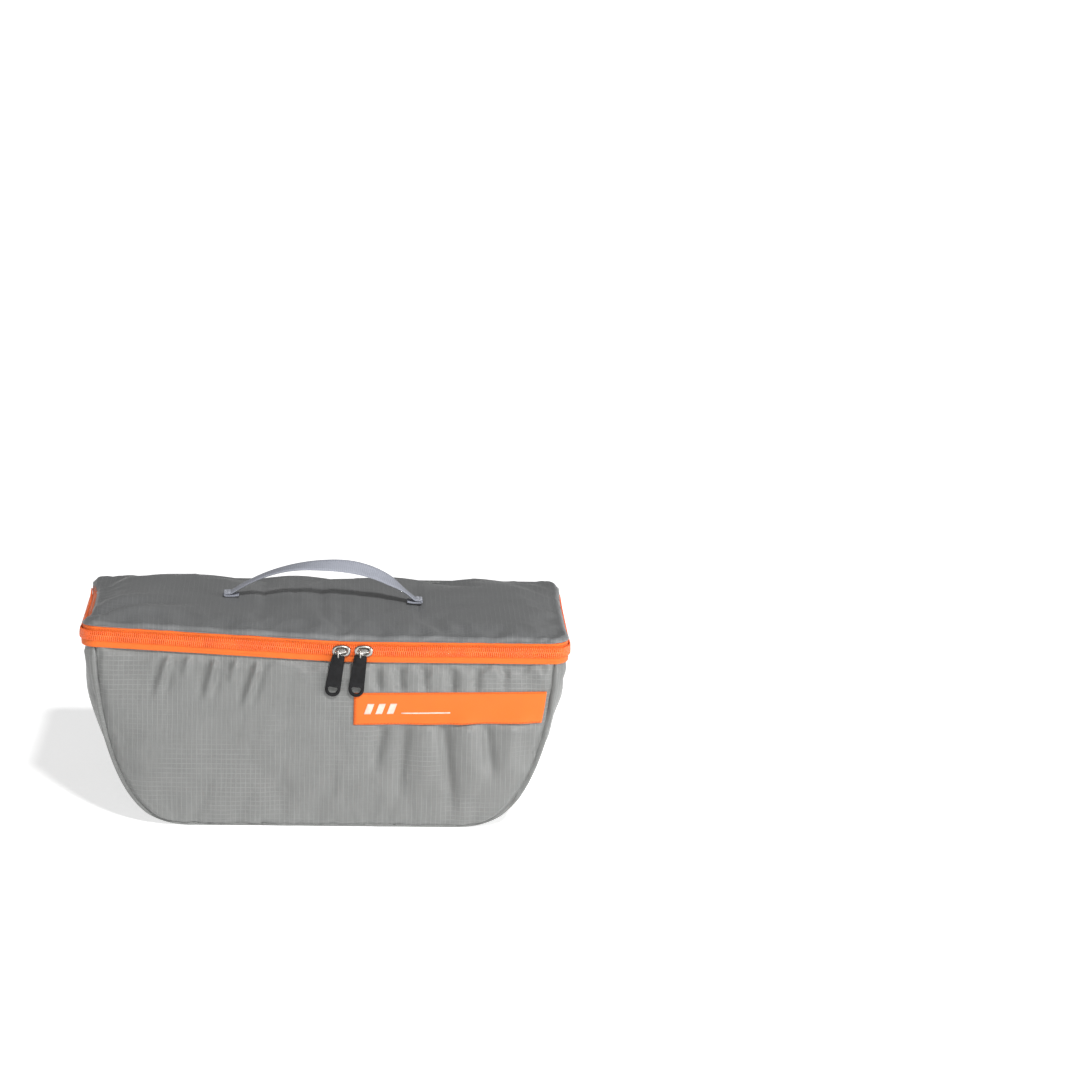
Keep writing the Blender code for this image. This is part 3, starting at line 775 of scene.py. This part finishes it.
front_cloth, front_points = make_panel("front_cloth", -1, FRONT_CROWN, front_top, True)
back_cloth, _ = make_panel("back_cloth", 1, BACK_CROWN, back_top, False)
gusset_cloth = make_gusset()
lid_cloth, lid_points = make_lid()
for cloth, node, body, flat, share in (
    (front_cloth, "front_panel", "bag", (0.310, 0.130), 0.80),
    (back_cloth, "back_panel", "bag", (0.310, 0.138), 0.80),
    (gusset_cloth, "gusset", "bag", (0.176, 0.520), 0.98),
    (lid_cloth, "lid_panel", "lid", (0.325, 0.176), 0.96),
):
    attach(cloth, body, "ripstop", node)


def make_hinge_fold():
    """Seam allowance behind the hinge, with rows below and above its axis. It stays as one piece on no body.
    """
    rows = np.array((
        (-0.0010, -0.0060), (-0.0010, -0.0022), (-0.0009, -0.0010), (-0.0008, -0.0004),
        (-0.0010, 0.0001), (-0.0018, 0.0001), (-0.0028, 0.0), (-0.0050, -0.0001),
    ))
    x = np.linspace(-1, 1, 90) * (TOP_HALF - 0.0045)
    points = np.zeros((len(rows), len(x), 3))
    points[..., 0] = x
    points[..., 1] = HINGE.y + rows[:, :1]
    points[..., 2] = HINGE.z + rows[:, 1:]
    uv = np.stack([points[..., 0], points[..., 1] + points[..., 2]], axis=-1)
    obj = grid_object("hinge_fold", points, uv, cloth_grey)
    thicken(obj, 0.0004, 0.0)
    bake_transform(obj)


make_hinge_fold()


# ---------------------------------------------------------------- zip


def rim_path(r):
    """Plan point of the rim and its outward direction. r runs from -1, rear left, to 1."""
    straight, turned = 0.5, 0.68
    corner = CORNER_HIGH * DEPTH
    end_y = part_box("zip_tape_body")[1][1]
    side = np.where(r >= 0, 1.0, -1.0)
    far = np.abs(r)
    angle = np.clip((far - straight) / (turned - straight), 0, 1) * pi / 2
    front = KINK_X * (1 - np.minimum(far / straight, 1)) + np.clip(r / straight, -1, 1) * TOP_HALF
    x = front + side * BULGE_HIGH * np.sin(angle)
    start = -DEPTH + corner
    run = np.clip((far - turned) / (1 - turned), 0, 1)
    y = -DEPTH + corner * (1 - np.cos(angle)) + run * (end_y - start)
    return x, y


def rim_frame(samples):
    """Even points round the rim, with outward directions and distances along it."""
    r = np.linspace(-1, 1, 4001)
    x, y = rim_path(r)
    run = distance_along(np.stack([x, y], axis=-1))
    at = np.linspace(0, run[-1], samples) if isinstance(samples, int) else samples
    px, py = np.interp(at, run, x), np.interp(at, run, y)
    dx, dy = np.gradient(x, run), np.gradient(y, run)
    tx, ty = np.interp(at, run, dx), np.interp(at, run, dy)
    size = np.hypot(tx, ty)
    return px, py, ty / size, -tx / size, at, run[-1]


def rim_strip(name, low, high, inset):
    """A strip of tape that follows the rim between two heights, with a slight belly and waves."""
    px, py, nx, ny, at, _ = rim_frame(420)
    v = np.linspace(0, 1, 9)[:, None]
    rise = low + v * (high - low)
    out = -inset + 0.0002 * 4 * v * (1 - v) + 0.00012 * waves(at[None, :], rise, 0.03, 71)
    out = out - side_lean(px, py) * np.abs(nx) ** 4 * np.clip(rise / BAND, 0, 1) ** 1.2
    x, y = px + nx * out, py + ny * out
    z = rim_z(px, py) + rise
    points = np.stack([x, y, np.broadcast_to(z, x.shape)], axis=-1)
    uv = np.stack([np.broadcast_to(at, x.shape), np.broadcast_to(rise, x.shape)], axis=-1)
    obj = grid_object(name, points, uv, tape_orange)
    thicken(obj, 0.0005)
    return obj


def bars(name, centres, directions, widths, profile, material):
    """Many short rounded bars in one mesh. Each runs along its direction, with a spindle profile."""
    rings, sides = profile.shape[0], 6
    turn = np.arange(sides) / sides * 2 * pi
    ring = np.stack([np.cos(turn), np.sin(turn)], axis=-1)
    along, across, out = directions
    points = []
    for size in profile:
        middle = centres + along * size[0]
        for a, b in ring:
            points.append(middle + across * (a * size[1] * widths[0]) + out * (b * size[1] * widths[1]))
    count = len(centres)
    grid = np.stack(points, axis=1)
    index = np.arange(rings * sides).reshape(rings, sides)
    quads = np.stack([index[:-1], np.roll(index[:-1], -1, 1), np.roll(index[1:], -1, 1), index[1:]], -1)
    first, last = index[0][::-1], index[-1]
    mesh = bpy.data.meshes.new(name)
    faces = []
    for k in range(count):
        start = k * rings * sides
        faces += (quads.reshape(-1, 4) + start).tolist()
        faces += [(first + start).tolist(), (last + start).tolist()]
    mesh.from_pydata(grid.reshape(-1, 3).tolist(), [], faces)
    mend(mesh)
    return new_object(name, mesh, material)


def rim_points(at, rise, out):
    """Points at distances along the rim, off it by rise and out, with forward and outward directions."""
    px, py, nx, ny, _, _ = rim_frame(at)
    z = rim_z(px, py) + rise
    centres = np.stack([px + nx * out, py + ny * out, z], axis=-1)
    outward = np.stack([nx, ny, np.zeros_like(nx)], axis=-1)
    forward = np.stack([-ny, nx, np.zeros_like(nx)], axis=-1)
    return centres, forward, outward


TOOTH_PITCH = 0.00125
RUN = rim_frame(3)[5]


def teeth(name, side):
    """One row of coil turns, which reach past the rim line between those of the other row."""
    first = 0.004 + (0.5 if side > 0 else 0.0) * TOOTH_PITCH
    at = np.arange(first, RUN - 0.003, TOOTH_PITCH)
    centres, forward, outward = rim_points(at, side * 0.0014, 0.0003)
    up = np.zeros_like(forward)
    up[:, 2] = 1.0
    if side > 0:
        fall = side_lean(centres[:, 0], centres[:, 1]) * np.abs(outward[:, 0]) ** 4 / BAND
        up = up - outward * fall[:, None]
        centres = centres - outward * (fall * 0.0014)[:, None]
    lean = unit(up + forward * 0.10 * side)
    across = np.cross(outward, lean)
    profile = np.array([
        (-0.0019, 0.35), (-0.0017, 0.85), (-0.0009, 1.0), (0.0009, 1.0), (0.0017, 0.85), (0.0019, 0.35)
    ])
    return bars(name, centres, (lean, across, outward), (0.00059, 0.00060), profile, coil_orange)


def stitches(name, places, forward, outward, length, thick, material):
    """Short thread bars at places, each along its forward direction."""
    profile = np.array([(-0.5, 0.3), (-0.4, 0.9), (0.0, 1.0), (0.4, 0.9), (0.5, 0.3)]) * (length, 1.0)
    across = np.cross(outward, forward)
    return bars(name, places, (forward, across, outward), (thick, thick), profile, material)


def rim_stitches(name, rises, pitch):
    """Rows of machine stitching along the zip."""
    found = []
    for rise in rises:
        at = np.arange(0.003, RUN - 0.003, pitch)
        spots, ahead, off = rim_points(at, rise, -0.0006)
        if rise > 0:
            fall = side_lean(spots[:, 0], spots[:, 1]) * np.abs(off[:, 0]) ** 4 * rise / BAND
            spots = spots - off * fall[:, None]
        found.append((spots, ahead, off))
    centres, forward, outward = (np.concatenate(parts) for parts in zip(*found))
    return stitches(name, centres, forward, outward, pitch * 0.72, 0.00022, stitch_orange)


for side, body, half in ((-1, "bag", "body"), (1, "lid", "lid")):
    low, high = sorted((side * 0.0009, side * (BAND + (0.0003 if side < 0 else -0.0006))))
    strip = rim_strip("zip_tape_" + half + "_cloth", low, high, 0.0009 if side > 0 else 0.0006)
    attach(strip, body, "zip_tape", "zip_tape_" + half)
    attach(teeth("zip_teeth_" + half, side), body, "zip_coil", "zip_coil_" + half)
    seams = rim_stitches("zip_coil_stitches_" + half, (side * 0.0041, side * 0.0059), 0.0019)
    attach(seams, body, "zip_tape")


# ---------------------------------------------------------------- sliders and pulls


def closed_grid(points, wrap_rows, wrap_columns):
    """Vertices and quads of a grid that may join up with itself."""
    rows, columns, _ = points.shape
    index = np.arange(rows * columns).reshape(rows, columns)
    if wrap_rows:
        index = np.concatenate([index, index[:1]])
    if wrap_columns:
        index = np.concatenate([index, index[:, :1]], axis=1)
    return points.reshape(-1, 3), grid_faces(index)


def tube(path, radius, sides=14, cyclic=True):
    """Round wire along a path. The radius is one number or one for each point."""
    path = np.asarray(path, float)
    ahead = np.roll(path, -1, 0) - np.roll(path, 1, 0) if cyclic else np.gradient(path, axis=0)
    ahead = unit(ahead)
    plane = np.array(np.linalg.svd(path - path.mean(0))[2][2])
    first = unit(np.cross(ahead, plane))
    turn = np.arange(sides) / sides * 2 * pi
    size = np.broadcast_to(radius, (len(path),))[:, None, None]
    ring = first[:, None] * np.cos(turn)[None, :, None] + plane * np.sin(turn)[None, :, None]
    return closed_grid(path[:, None] + ring * size, cyclic, True)


def joined_mesh(name, parts):
    """One mesh from several lists of vertices and faces."""
    points, faces, start = [], [], 0
    for vertices, quads in parts:
        points += np.asarray(vertices).tolist()
        faces += [[int(i) + start for i in face] for face in quads]
        start = len(points)
    mesh = bpy.data.meshes.new(name)
    mesh.from_pydata(points, [], faces)
    return mesh


def mesh_piece(name, parts, material):
    """One closed object from several lists of vertices and faces, with outward normals."""
    mesh = joined_mesh(name, parts)
    mend(mesh, fill=64)
    return new_object(name, mesh, material)


PLATE_PROFILE = (
    (0.02, 0.55), (0.34, 0.55), (0.44, 0.62), (0.54, 1.05), (0.64, 1.45), (0.74, 1.62),
    (0.84, 1.55), (0.92, 1.25), (0.97, 0.85), (1.0, 0.40), (0.99, 0.08), (0.95, 0.0), (0.02, 0.0),
)


def plate(x, z, y, side, size):
    """Oval plate of a slider, dished, with a thick rounded rim. side -1 faces forward."""
    turn = np.arange(56) / 56 * 2 * pi
    c, s = np.cos(turn), np.sin(turn)
    reach = (np.abs(c) ** 2.9 + np.abs(s) ** 2.9) ** (-1 / 2.9)
    rings = []
    for far, rise in PLATE_PROFILE:
        taper = 1 - 0.10 * np.abs(c)
        px = x + size[0] * far * reach * c
        pz = z + size[1] * far * reach * s * taper
        rings.append(np.stack([px, np.full_like(px, y + side * rise * 0.001), pz], axis=-1))
    return closed_grid(np.stack(rings), False, True)


def slider_metal(side):
    """Slider: front and inner plates, the post between them, and the arched bridge for the pull."""
    name = "slider_" + side
    low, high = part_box(name)
    x, _, z = middle_of(name)
    half = ((high[0] - low[0]) / 2, (high[2] - low[2]) / 2 * 0.97)
    face = -DEPTH - 0.0003
    parts = [plate(x, z, face, -1, half)]
    parts.append(plate(x, z, high[1] - 0.0012, 1, (half[0] * 0.94, half[1] * 0.9)))
    post = np.array([(x, face - 0.0002, z), (x, high[1] - 0.0008, z)])
    ring = np.linspace(0, 1, 6)[:, None]
    parts.append(tube(post[0] + (post[1] - post[0]) * ring, 0.0003, 8, False))
    top = JOINTS[side + "_pull_lift"]["pos_m"][1]
    u = np.linspace(-1, 1, 31)
    bend = np.clip((np.abs(u) - 0.62) / 0.38, 0, 1)
    span = 0.0036
    path = np.stack([x + span * np.sign(u) * np.minimum(np.abs(u) / 0.86, 1), u * 0, u * 0 + z], axis=-1)
    path[:, 1] = top + (face - top - 0.0004) * bend ** 1.6
    parts.append(tube(path, 0.00052 + 0.00022 * bend, 12, False))
    attach(mesh_piece(name + "_metal", parts, nickel), side + "_slider", "nickel", name)


# Radius of the link's wire, and how far its centre line runs inside the CAD link's outline.
WIRE_RADIUS, WIRE_INSET = 0.00047, 0.00045


def wire_link(side):
    """Bent wire that hangs from the bridge and holds the tab."""
    node = "pull_link_" + side
    low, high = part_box(node)
    x, y, _ = middle_of(node)
    radius = (high[1] - low[1]) / 2 - WIRE_INSET
    top, foot = high[2] - WIRE_INSET - radius, low[2] + WIRE_INSET + radius
    turn = np.linspace(0, pi, 17)
    upper = np.stack([0 * turn + x, y + radius * np.cos(turn), top + radius * np.sin(turn)], axis=-1)
    lower = np.stack([0 * turn + x, y - radius * np.cos(turn), foot - radius * np.sin(turn)], axis=-1)
    obj = mesh_piece("wire_" + side, [tube(np.concatenate([upper, lower]), WIRE_RADIUS)], nickel)
    attach(obj, side + "_pull_link", "nickel", node)


# A tab in its own plane: the height of its round foot's centre below the eye, and the foot's radius.
TAB_FOOT = -0.0206
TAB_LOOP = 0.0049


def half_round(across, down, centre):
    """Lower half of an ellipse about a point of the tab's middle line, from left to right."""
    turn = np.linspace(pi, 2 * pi, 25)
    return np.stack([across * np.cos(turn), centre + down * np.sin(turn)], -1)


def rounded_top(half, top, corner):
    """The two upper corners of a tab's outline, right and left."""
    bend = np.linspace(0, pi / 2, 6)
    right = np.stack([half - corner + corner * np.cos(bend), top - corner + corner * np.sin(bend)], -1)
    return right, right[::-1] * (-1, 1)


def tab_outline():
    """Outline of a tab, from the left round the foot. The eye is at the origin."""
    foot = half_round(TAB_LOOP, TAB_LOOP, TAB_FOOT)
    right, left = rounded_top(0.0041, 0.0017, 0.0013)
    side = np.linspace(0, 1, 9)[1:-1, None]
    rise = foot[-1] + (right[0] - foot[-1]) * side
    fall = left[-1] + (foot[0] - left[-1]) * side
    return np.concatenate([foot, rise, right, left, fall])


def tab_hole(grow):
    """D-shaped finger hole, with rounded corners."""
    low = half_round(0.0029 + grow, 0.0027 + grow, TAB_FOOT - 0.0001)
    return np.concatenate([low, *rounded_top(0.0029 + grow, TAB_FOOT + 0.0013 + grow, 0.0008)])


def flat_curve(name, outlines, half_thickness, rounding):
    """Mesh of a flat plate with rounded edges, from outlines in its own XY plane."""
    curve = bpy.data.curves.new(name, "CURVE")
    curve.dimensions = "2D"
    curve.fill_mode = "BOTH"
    curve.extrude = half_thickness - rounding
    curve.bevel_depth = rounding
    curve.bevel_resolution = 3
    curve.offset = -rounding
    for outline in outlines:
        spline = curve.splines.new("POLY")
        spline.points.add(len(outline) - 1)
        for target, (x, y) in zip(spline.points, outline):
            target.co = (x, y, 0, 1)
        spline.use_cyclic_u = True
    draft = bpy.data.objects.new(name, curve)
    bpy.context.scene.collection.objects.link(draft)
    graph = bpy.context.evaluated_depsgraph_get()
    mesh = bpy.data.meshes.new_from_object(draft.evaluated_get(graph))
    bpy.data.objects.remove(draft)
    mend(mesh, weld=0.00002)
    return mesh


def tab_piece(side, tilt):
    """Black moulded tab with a finger hole, thicker where it closes round the wire."""
    pivot = Vector(JOINTS[side + "_tab_swing"]["pos_m"])
    turned = Matrix.Rotation(tilt, 4, "Y") @ Matrix.Rotation(pi / 2, 4, "X")
    shift = Matrix.Translation(pivot) @ turned
    mesh = flat_curve("tab", [tab_outline(), tab_hole(0.0)], 0.00078, 0.00035)
    rim = flat_curve("tab_rim", [tab_hole(0.00115), tab_hole(0.0001)], 0.00100, 0.0003)
    hood_shape = np.array([(-0.0032, -0.0042), (0.0032, -0.0042), (0.0030, 0.0011), (-0.0030, 0.0011)])
    hood = flat_curve("tab_hood", [hood_shape], 0.00112, 0.0005)
    joined = bmesh.new()
    for part in (mesh, rim, hood):
        joined.from_mesh(part)
    final = bpy.data.meshes.new("tab_" + side)
    joined.to_mesh(final)
    joined.free()
    final.transform(shift)
    final.materials.clear()
    obj = new_object("tab_" + side, final, tab_black)
    final.set_sharp_from_angle(angle=radians(40))
    attach(obj, side + "_pull_tab", "pull_black", "pull_tab_" + side)


for side, tilt in (("left", radians(9.0)), ("right", radians(6.5))):
    slider_metal(side)
    wire_link(side)
    tab_piece(side, tilt)


# ---------------------------------------------------------------- handle


def webbing_strip(name, path, frames_of, half_width, thickness, material):
    """A ribbon of webbing along a path, with rounded edges and a slight hollow in its faces."""
    ring_u = np.array([-1.0, -0.93, -0.6, -0.2, 0.2, 0.6, 0.93, 1.0, 0.93, 0.6, 0.2, -0.2, -0.6, -0.93])
    ring_v = np.array([0.0, 0.72, 1.0, 0.94, 0.94, 1.0, 0.72, 0.0, -0.72, -1.0, -0.94, -0.94, -1.0, -0.72])
    across, up = frames_of
    body = path[:, None] + across[:, None] * (ring_u * half_width)[None, :, None]
    body = body + up[:, None] * (ring_v * thickness / 2)[None, :, None]
    run = distance_along(path)
    closed = np.concatenate([body, body[:, :1]], axis=1)
    around = np.concatenate([ring_u, ring_u[:1]]) * half_width
    around = np.where(np.arange(len(around)) > 7, around + 0.0002, around)
    uv = np.stack(np.broadcast_arrays(run[:, None], around), axis=-1)
    obj = grid_object(name, closed, uv, material)
    mend(obj.data, weld=0.000005, fill=20)
    obj.data.set_sharp_from_angle(angle=radians(65))
    return obj


HANDLE_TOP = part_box("handle_strap")[1][2]
END_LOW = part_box("handle_end_left")[0][0]
END_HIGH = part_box("handle_end_right")[1][0]
STRAP_THICK = 0.0013
HANDLE_MID = (END_LOW + END_HIGH) / 2
HANDLE_HALF = (END_HIGH - END_LOW) / 2 - 0.0008


def lid_top(x, y):
    """Height of the finished lid cloth near a place in plan."""
    flat = lid_points.reshape(-1, 3)
    near = np.argsort((flat[:, 0] - x) ** 2 + (flat[:, 1] - y) ** 2)[:6]
    return flat[near, 2].max()


def end_ground(side):
    """Where the folded end of the handle lies on the lid."""
    end_x = HANDLE_MID + side * HANDLE_HALF
    places = [(end_x - side * step, y) for step in (0.0, 0.004, 0.009) for y in (-0.004, 0, 0.004)]
    return max(lid_top(x, y) for x, y in places) + 0.0001


def handle_path():
    """Centre line: a tail along the lid, a turn, the stitched length over it, the arch and the same again."""
    crest = HANDLE_TOP - STRAP_THICK / 2 - 0.0026
    ends = []
    for side in (-1, 1):
        low = end_ground(side) + STRAP_THICK * 0.5
        over = low + STRAP_THICK * 1.08
        fold = HANDLE_HALF - 0.0010
        tail = [(HANDLE_HALF - 0.0098, low + 0.0005), (HANDLE_HALF - 0.0065, low), (fold, low)]
        turn = np.linspace(-pi / 2, pi / 2, 9)[1:-1]
        radius = (over - low) / 2
        bend = [(fold + radius * cos(a) * 1.2, low + radius + radius * sin(a)) for a in turn]
        back = [(fold, over), (HANDLE_HALF - 0.0044, over + 0.0002)]
        ends.append(np.array(tail + bend + back))
    left, right = ends
    share = np.linspace(-1, 1, 121)[1:-1]
    reach = HANDLE_HALF - 0.0049
    base = left[-1, 1] + (right[-1, 1] - left[-1, 1]) * (share + 1) / 2
    arch = np.stack([HANDLE_MID + share * reach, base + (crest - base) * (1 - np.abs(share) ** 2.4)], axis=-1)
    left_run = np.stack([HANDLE_MID - left[:, 0], left[:, 1]], axis=-1)
    right_run = np.stack([HANDLE_MID + right[:, 0], right[:, 1]], axis=-1)[::-1]
    flat = np.concatenate([left_run, arch, right_run])
    run = distance_along(flat)
    even = np.linspace(0, run[-1], 420)
    x, z = np.interp(even, run, flat[:, 0]), np.interp(even, run, flat[:, 1])
    for _ in range(4):
        x[1:-1] = (x[:-2] + 2 * x[1:-1] + x[2:]) / 4
        z[1:-1] = (z[:-2] + 2 * z[1:-1] + z[2:]) / 4
    return np.stack([x, np.zeros_like(x), z], axis=-1)


def make_handle():
    """The webbing strap, which rolls a little to the front between its ends."""
    path = handle_path()
    ahead = unit(np.gradient(path, axis=0))
    share = (path[:, 0] - HANDLE_MID) / HANDLE_HALF
    ground = max(end_ground(-1), end_ground(1))
    rise = path[:, 2] - ground
    high = smooth(rise, 0.003, 0.012)
    roll = high * radians(44) * np.exp(-((share - 0.30) / 0.52) ** 2)
    path[:, 1] += high * 0.0014 * np.sin(share * 3.2 + 0.3)
    straight = np.zeros_like(ahead)
    straight[:, 1] = 1.0
    up = np.cross(ahead, straight)
    across = straight * np.cos(roll)[:, None] + up * np.sin(roll)[:, None]
    upward = np.cross(ahead, across)
    obj = webbing_strip("handle_webbing", path, (across, upward), 0.0050, STRAP_THICK, webbing_grey)
    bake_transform(obj)
    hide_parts("handle_strap", "handle_end_left", "handle_end_right")


make_handle()


def bartack(side):
    """Dense zigzag stitching over the handle's stitched end."""
    name = "handle_bartack_left" if side < 0 else "handle_bartack_right"
    top = end_ground(side) + STRAP_THICK * 2.08
    places, ahead = [], []
    for row, x in enumerate((0.0012, 0.0033)):
        for k in range(20):
            y = -0.0042 + 0.0084 * k / 19
            places.append((HANDLE_MID + side * (HANDLE_HALF - x), y, top + 0.00006 + 0.0002 * row))
            ahead.append((1.0, 0.24 * (-1) ** k, 0.0))
    ahead = unit(np.array(ahead))
    up = np.zeros_like(ahead)
    up[:, 2] = 1.0
    obj = stitches(name + "_thread", np.array(places), ahead, up, 0.0023, 0.00027, thread_grey)
    attach(obj, "lid", "thread", name)


bartack(-1)
bartack(1)


# ---------------------------------------------------------------- label


def front_y(x, z):
    """How far forward the finished front cloth stands near a place."""
    flat = front_points.reshape(-1, 3)
    near = (np.abs(flat[:, 0] - x) < 0.006) & (np.abs(flat[:, 2] - z) < 0.004)
    return flat[near, 1].min() if near.any() else -DEPTH


def make_label():
    """Sewn strip with its left end folded under, its right end caught in the side seam, and its stitches."""
    low, high = (Vector(corner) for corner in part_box("label_strip"))
    tilt = 0.002
    tall = high.z - low.z - tilt
    columns, rows = 64, 14
    across = np.linspace(0, 1, columns)
    rise = np.linspace(0, 1, rows)
    points = np.zeros((rows, columns, 3))
    right = np.empty(rows)
    for j, r in enumerate(rise):
        z_end = low.z + tilt + r * tall
        share = (z_end - SEAM_Z) / (front_top(np.array(TOP_HALF)) - SEAM_Z)
        right[j] = seam_half(share) - 0.0022
    reach = {}
    for i, a in enumerate(across):
        for j, r in enumerate(rise):
            x = low.x + a * (right[j] - low.x)
            z = low.z + tilt * a + r * tall
            key = (round(x / 0.004), round(z / 0.004))
            if key not in reach:
                reach[key] = front_y(x, z)
            points[j, i] = x, reach[key], z
    ys = points[..., 1]
    for _ in range(6):
        padded = np.pad(ys, 1, mode="edge")
        ys = np.minimum(ys, (padded[:-2, 1:-1] + padded[2:, 1:-1] + padded[1:-1, :-2] + padded[1:-1, 2:]) / 4)
        padded = np.pad(ys, 1, mode="edge")
        ys = (padded[:-2, 1:-1] + padded[2:, 1:-1] + padded[1:-1, :-2] + padded[1:-1, 2:] + 2 * ys) / 6
    edge = np.minimum(np.minimum(rise, 1 - rise)[:, None] * tall, across[None] * (high.x - low.x))
    ys = ys - 0.00050 - 0.0002 * smooth(edge, 0.0, 0.0012) + 0.0004 * np.exp(-(edge / 0.0005) ** 2)
    points[..., 1] = ys - 0.00018 * waves(points[..., 0], points[..., 2], 0.02, 91)
    strip = grid_object("label_band", points, points[..., [0, 2]], label_orange)
    thicken(strip, 0.0005)
    attach(strip, "bag", "label", "label_strip")
    centres, ahead = [], []
    for outer, inner in (points[:2], points[:-3:-1], (points[:, 0], points[:, 1])):
        line = outer * 0.45 + inner * 0.55
        run = distance_along(line)
        at = np.arange(0.0009, run[-1] - 0.0006, 0.0021)
        spot = np.stack([np.interp(at, run, line[:, k]) for k in range(3)], axis=-1)
        far = np.stack([np.interp(at + 0.0008, run, line[:, k]) for k in range(3)], axis=-1)
        centres.append(spot)
        ahead.append(unit(far - spot))
    centres, ahead = np.concatenate(centres), np.concatenate(ahead)
    centres[:, 1] -= 0.00005
    out = np.zeros_like(ahead)
    out[:, 1] = -1.0
    thread = stitches("label_stitches", centres, ahead, out, 0.0015, 0.00017, stitch_orange)
    attach(thread, "bag", "label")
    return points


label_points = make_label()


def label_mark():
    """A plain printed mark: three slanted bars and a thin line."""
    low = label_points[0, 0]
    tall = label_points[-1, 0, 2] - low[2]
    flat = label_points.reshape(-1, 3)
    shapes = []
    for k in range(3):
        x0 = 0.0065 + k * 0.0072
        shapes.append([(x0, 0.34), (x0 + 0.0042, 0.34), (x0 + 0.0066, 0.66), (x0 + 0.0024, 0.66)])
    shapes.append([(0.0300, 0.34), (0.0610, 0.34), (0.0613, 0.38), (0.0303, 0.38)])
    parts = []
    for shape in shapes:
        (ax, az), (bx, bz), (cx, cz), (dx, dz) = shape
        s = np.linspace(0, 1, 14)[None, :]
        t = np.linspace(0, 1, 9)[:, None]
        px = (ax * (1 - s) + bx * s) * (1 - t) + (dx * (1 - s) + cx * s) * t
        pz = (az * (1 - s) + bz * s) * (1 - t) + (dz * (1 - s) + cz * s) * t
        wx = low[0] + px
        wz = low[2] + pz * tall + 0.002 * px / 0.12
        wy = np.empty_like(wx)
        for index in np.ndindex(wx.shape):
            off = (flat[:, 0] - wx[index]) ** 2 + (flat[:, 2] - wz[index]) ** 2
            near = np.argsort(off)[:4]
            share = 1 / (off[near] + 1e-9)
            wy[index] = (flat[near, 1] * share).sum() / share.sum()
        grid = np.stack([wx, wy - 0.00006, wz], axis=-1)
        parts.append(closed_grid(grid, False, False))
    obj = new_object("label_mark", joined_mesh("label_mark", parts), label_print)
    thicken(obj, 0.00008, 1.0)
    attach(obj, "bag", "label")


label_mark()


# ---------------------------------------------------------------- floor, light and camera


def add_floor():
    """A pale floor."""
    bm = bmesh.new()
    bmesh.ops.create_grid(bm, x_segments=2, y_segments=2, size=14.0)
    mesh = bpy.data.meshes.new("floor")
    bm.to_mesh(mesh)
    bm.free()
    n = Nodes("floor_pale")
    place = n.place(uv=False)
    tone = n.mix(n.noise(place, 3.0), (0.84, 0.84, 0.84), (0.88, 0.88, 0.88))
    n.shader.inputs["Emission Color"].default_value = (1, 1, 1, 1)
    n.shader.inputs["Emission Strength"].default_value = 0.60
    mesh.materials.append(n.finish(tone, 0.9, n.noise(place, 40.0), 0.0001, specular=0.0))
    obj = bpy.data.objects.new("floor", mesh)
    bpy.context.scene.collection.objects.link(obj)


def add_lamp(name, kind, place, target, power, **values):
    """A lamp at a place, turned to its target."""
    data = bpy.data.lights.new(name, kind)
    data.energy = power
    for key, value in values.items():
        setattr(data, key, value)
    obj = bpy.data.objects.new(name, data)
    obj.location = place
    obj.rotation_euler = (Vector(target) - Vector(place)).to_track_quat("-Z", "Y").to_euler()
    bpy.context.scene.collection.objects.link(obj)


def add_light():
    """A high key from the camera's side, a little to the right, a near lamp at the right and a broad fill."""
    world = bpy.data.worlds.new("studio")
    world.use_nodes = True
    world.node_tree.nodes["Background"].inputs["Color"].default_value = (1, 1, 1, 1)
    world.node_tree.nodes["Background"].inputs["Strength"].default_value = 0.19
    bpy.context.scene.world = world
    middle = (0, 0, 0.08)
    add_lamp("key", "SUN", (0.34, -1.0, 1.05), middle, 2.35, angle=radians(6))
    add_lamp("side", "AREA", (0.80, -0.60, 0.22), middle, 4.6, shape="RECTANGLE", size=0.4, size_y=0.4)
    add_lamp("fill", "AREA", (-0.5, -3.1, 0.75), middle, 18, shape="RECTANGLE", size=2.2, size_y=1.0)


def add_camera():
    """At the object's front, 15 degrees up, aimed to its upper right so that it sits low and left."""
    elevation, distance, roll = radians(15.0), 2.7, radians(1.4)
    target = Vector((0.0, 0.0, 0.066))
    back = Vector((0, -cos(elevation), sin(elevation)))
    data = bpy.data.cameras.new("camera")
    data.sensor_width = 36.0
    data.lens = 137.5
    obj = bpy.data.objects.new("camera", data)
    obj.location = target + back * distance
    up = Vector((0, sin(elevation), cos(elevation)))
    aim = target + Vector((0.1395, 0, 0)) + up * 0.1030
    look = (aim - obj.location).to_track_quat("-Z", "Y")
    obj.rotation_euler = (look @ Quaternion((0, 0, 1), roll)).to_euler()
    bpy.context.scene.collection.objects.link(obj)
    bpy.context.scene.camera = obj


bpy.context.scene.view_settings.view_transform = "Standard"
add_floor()
add_light()
add_camera()
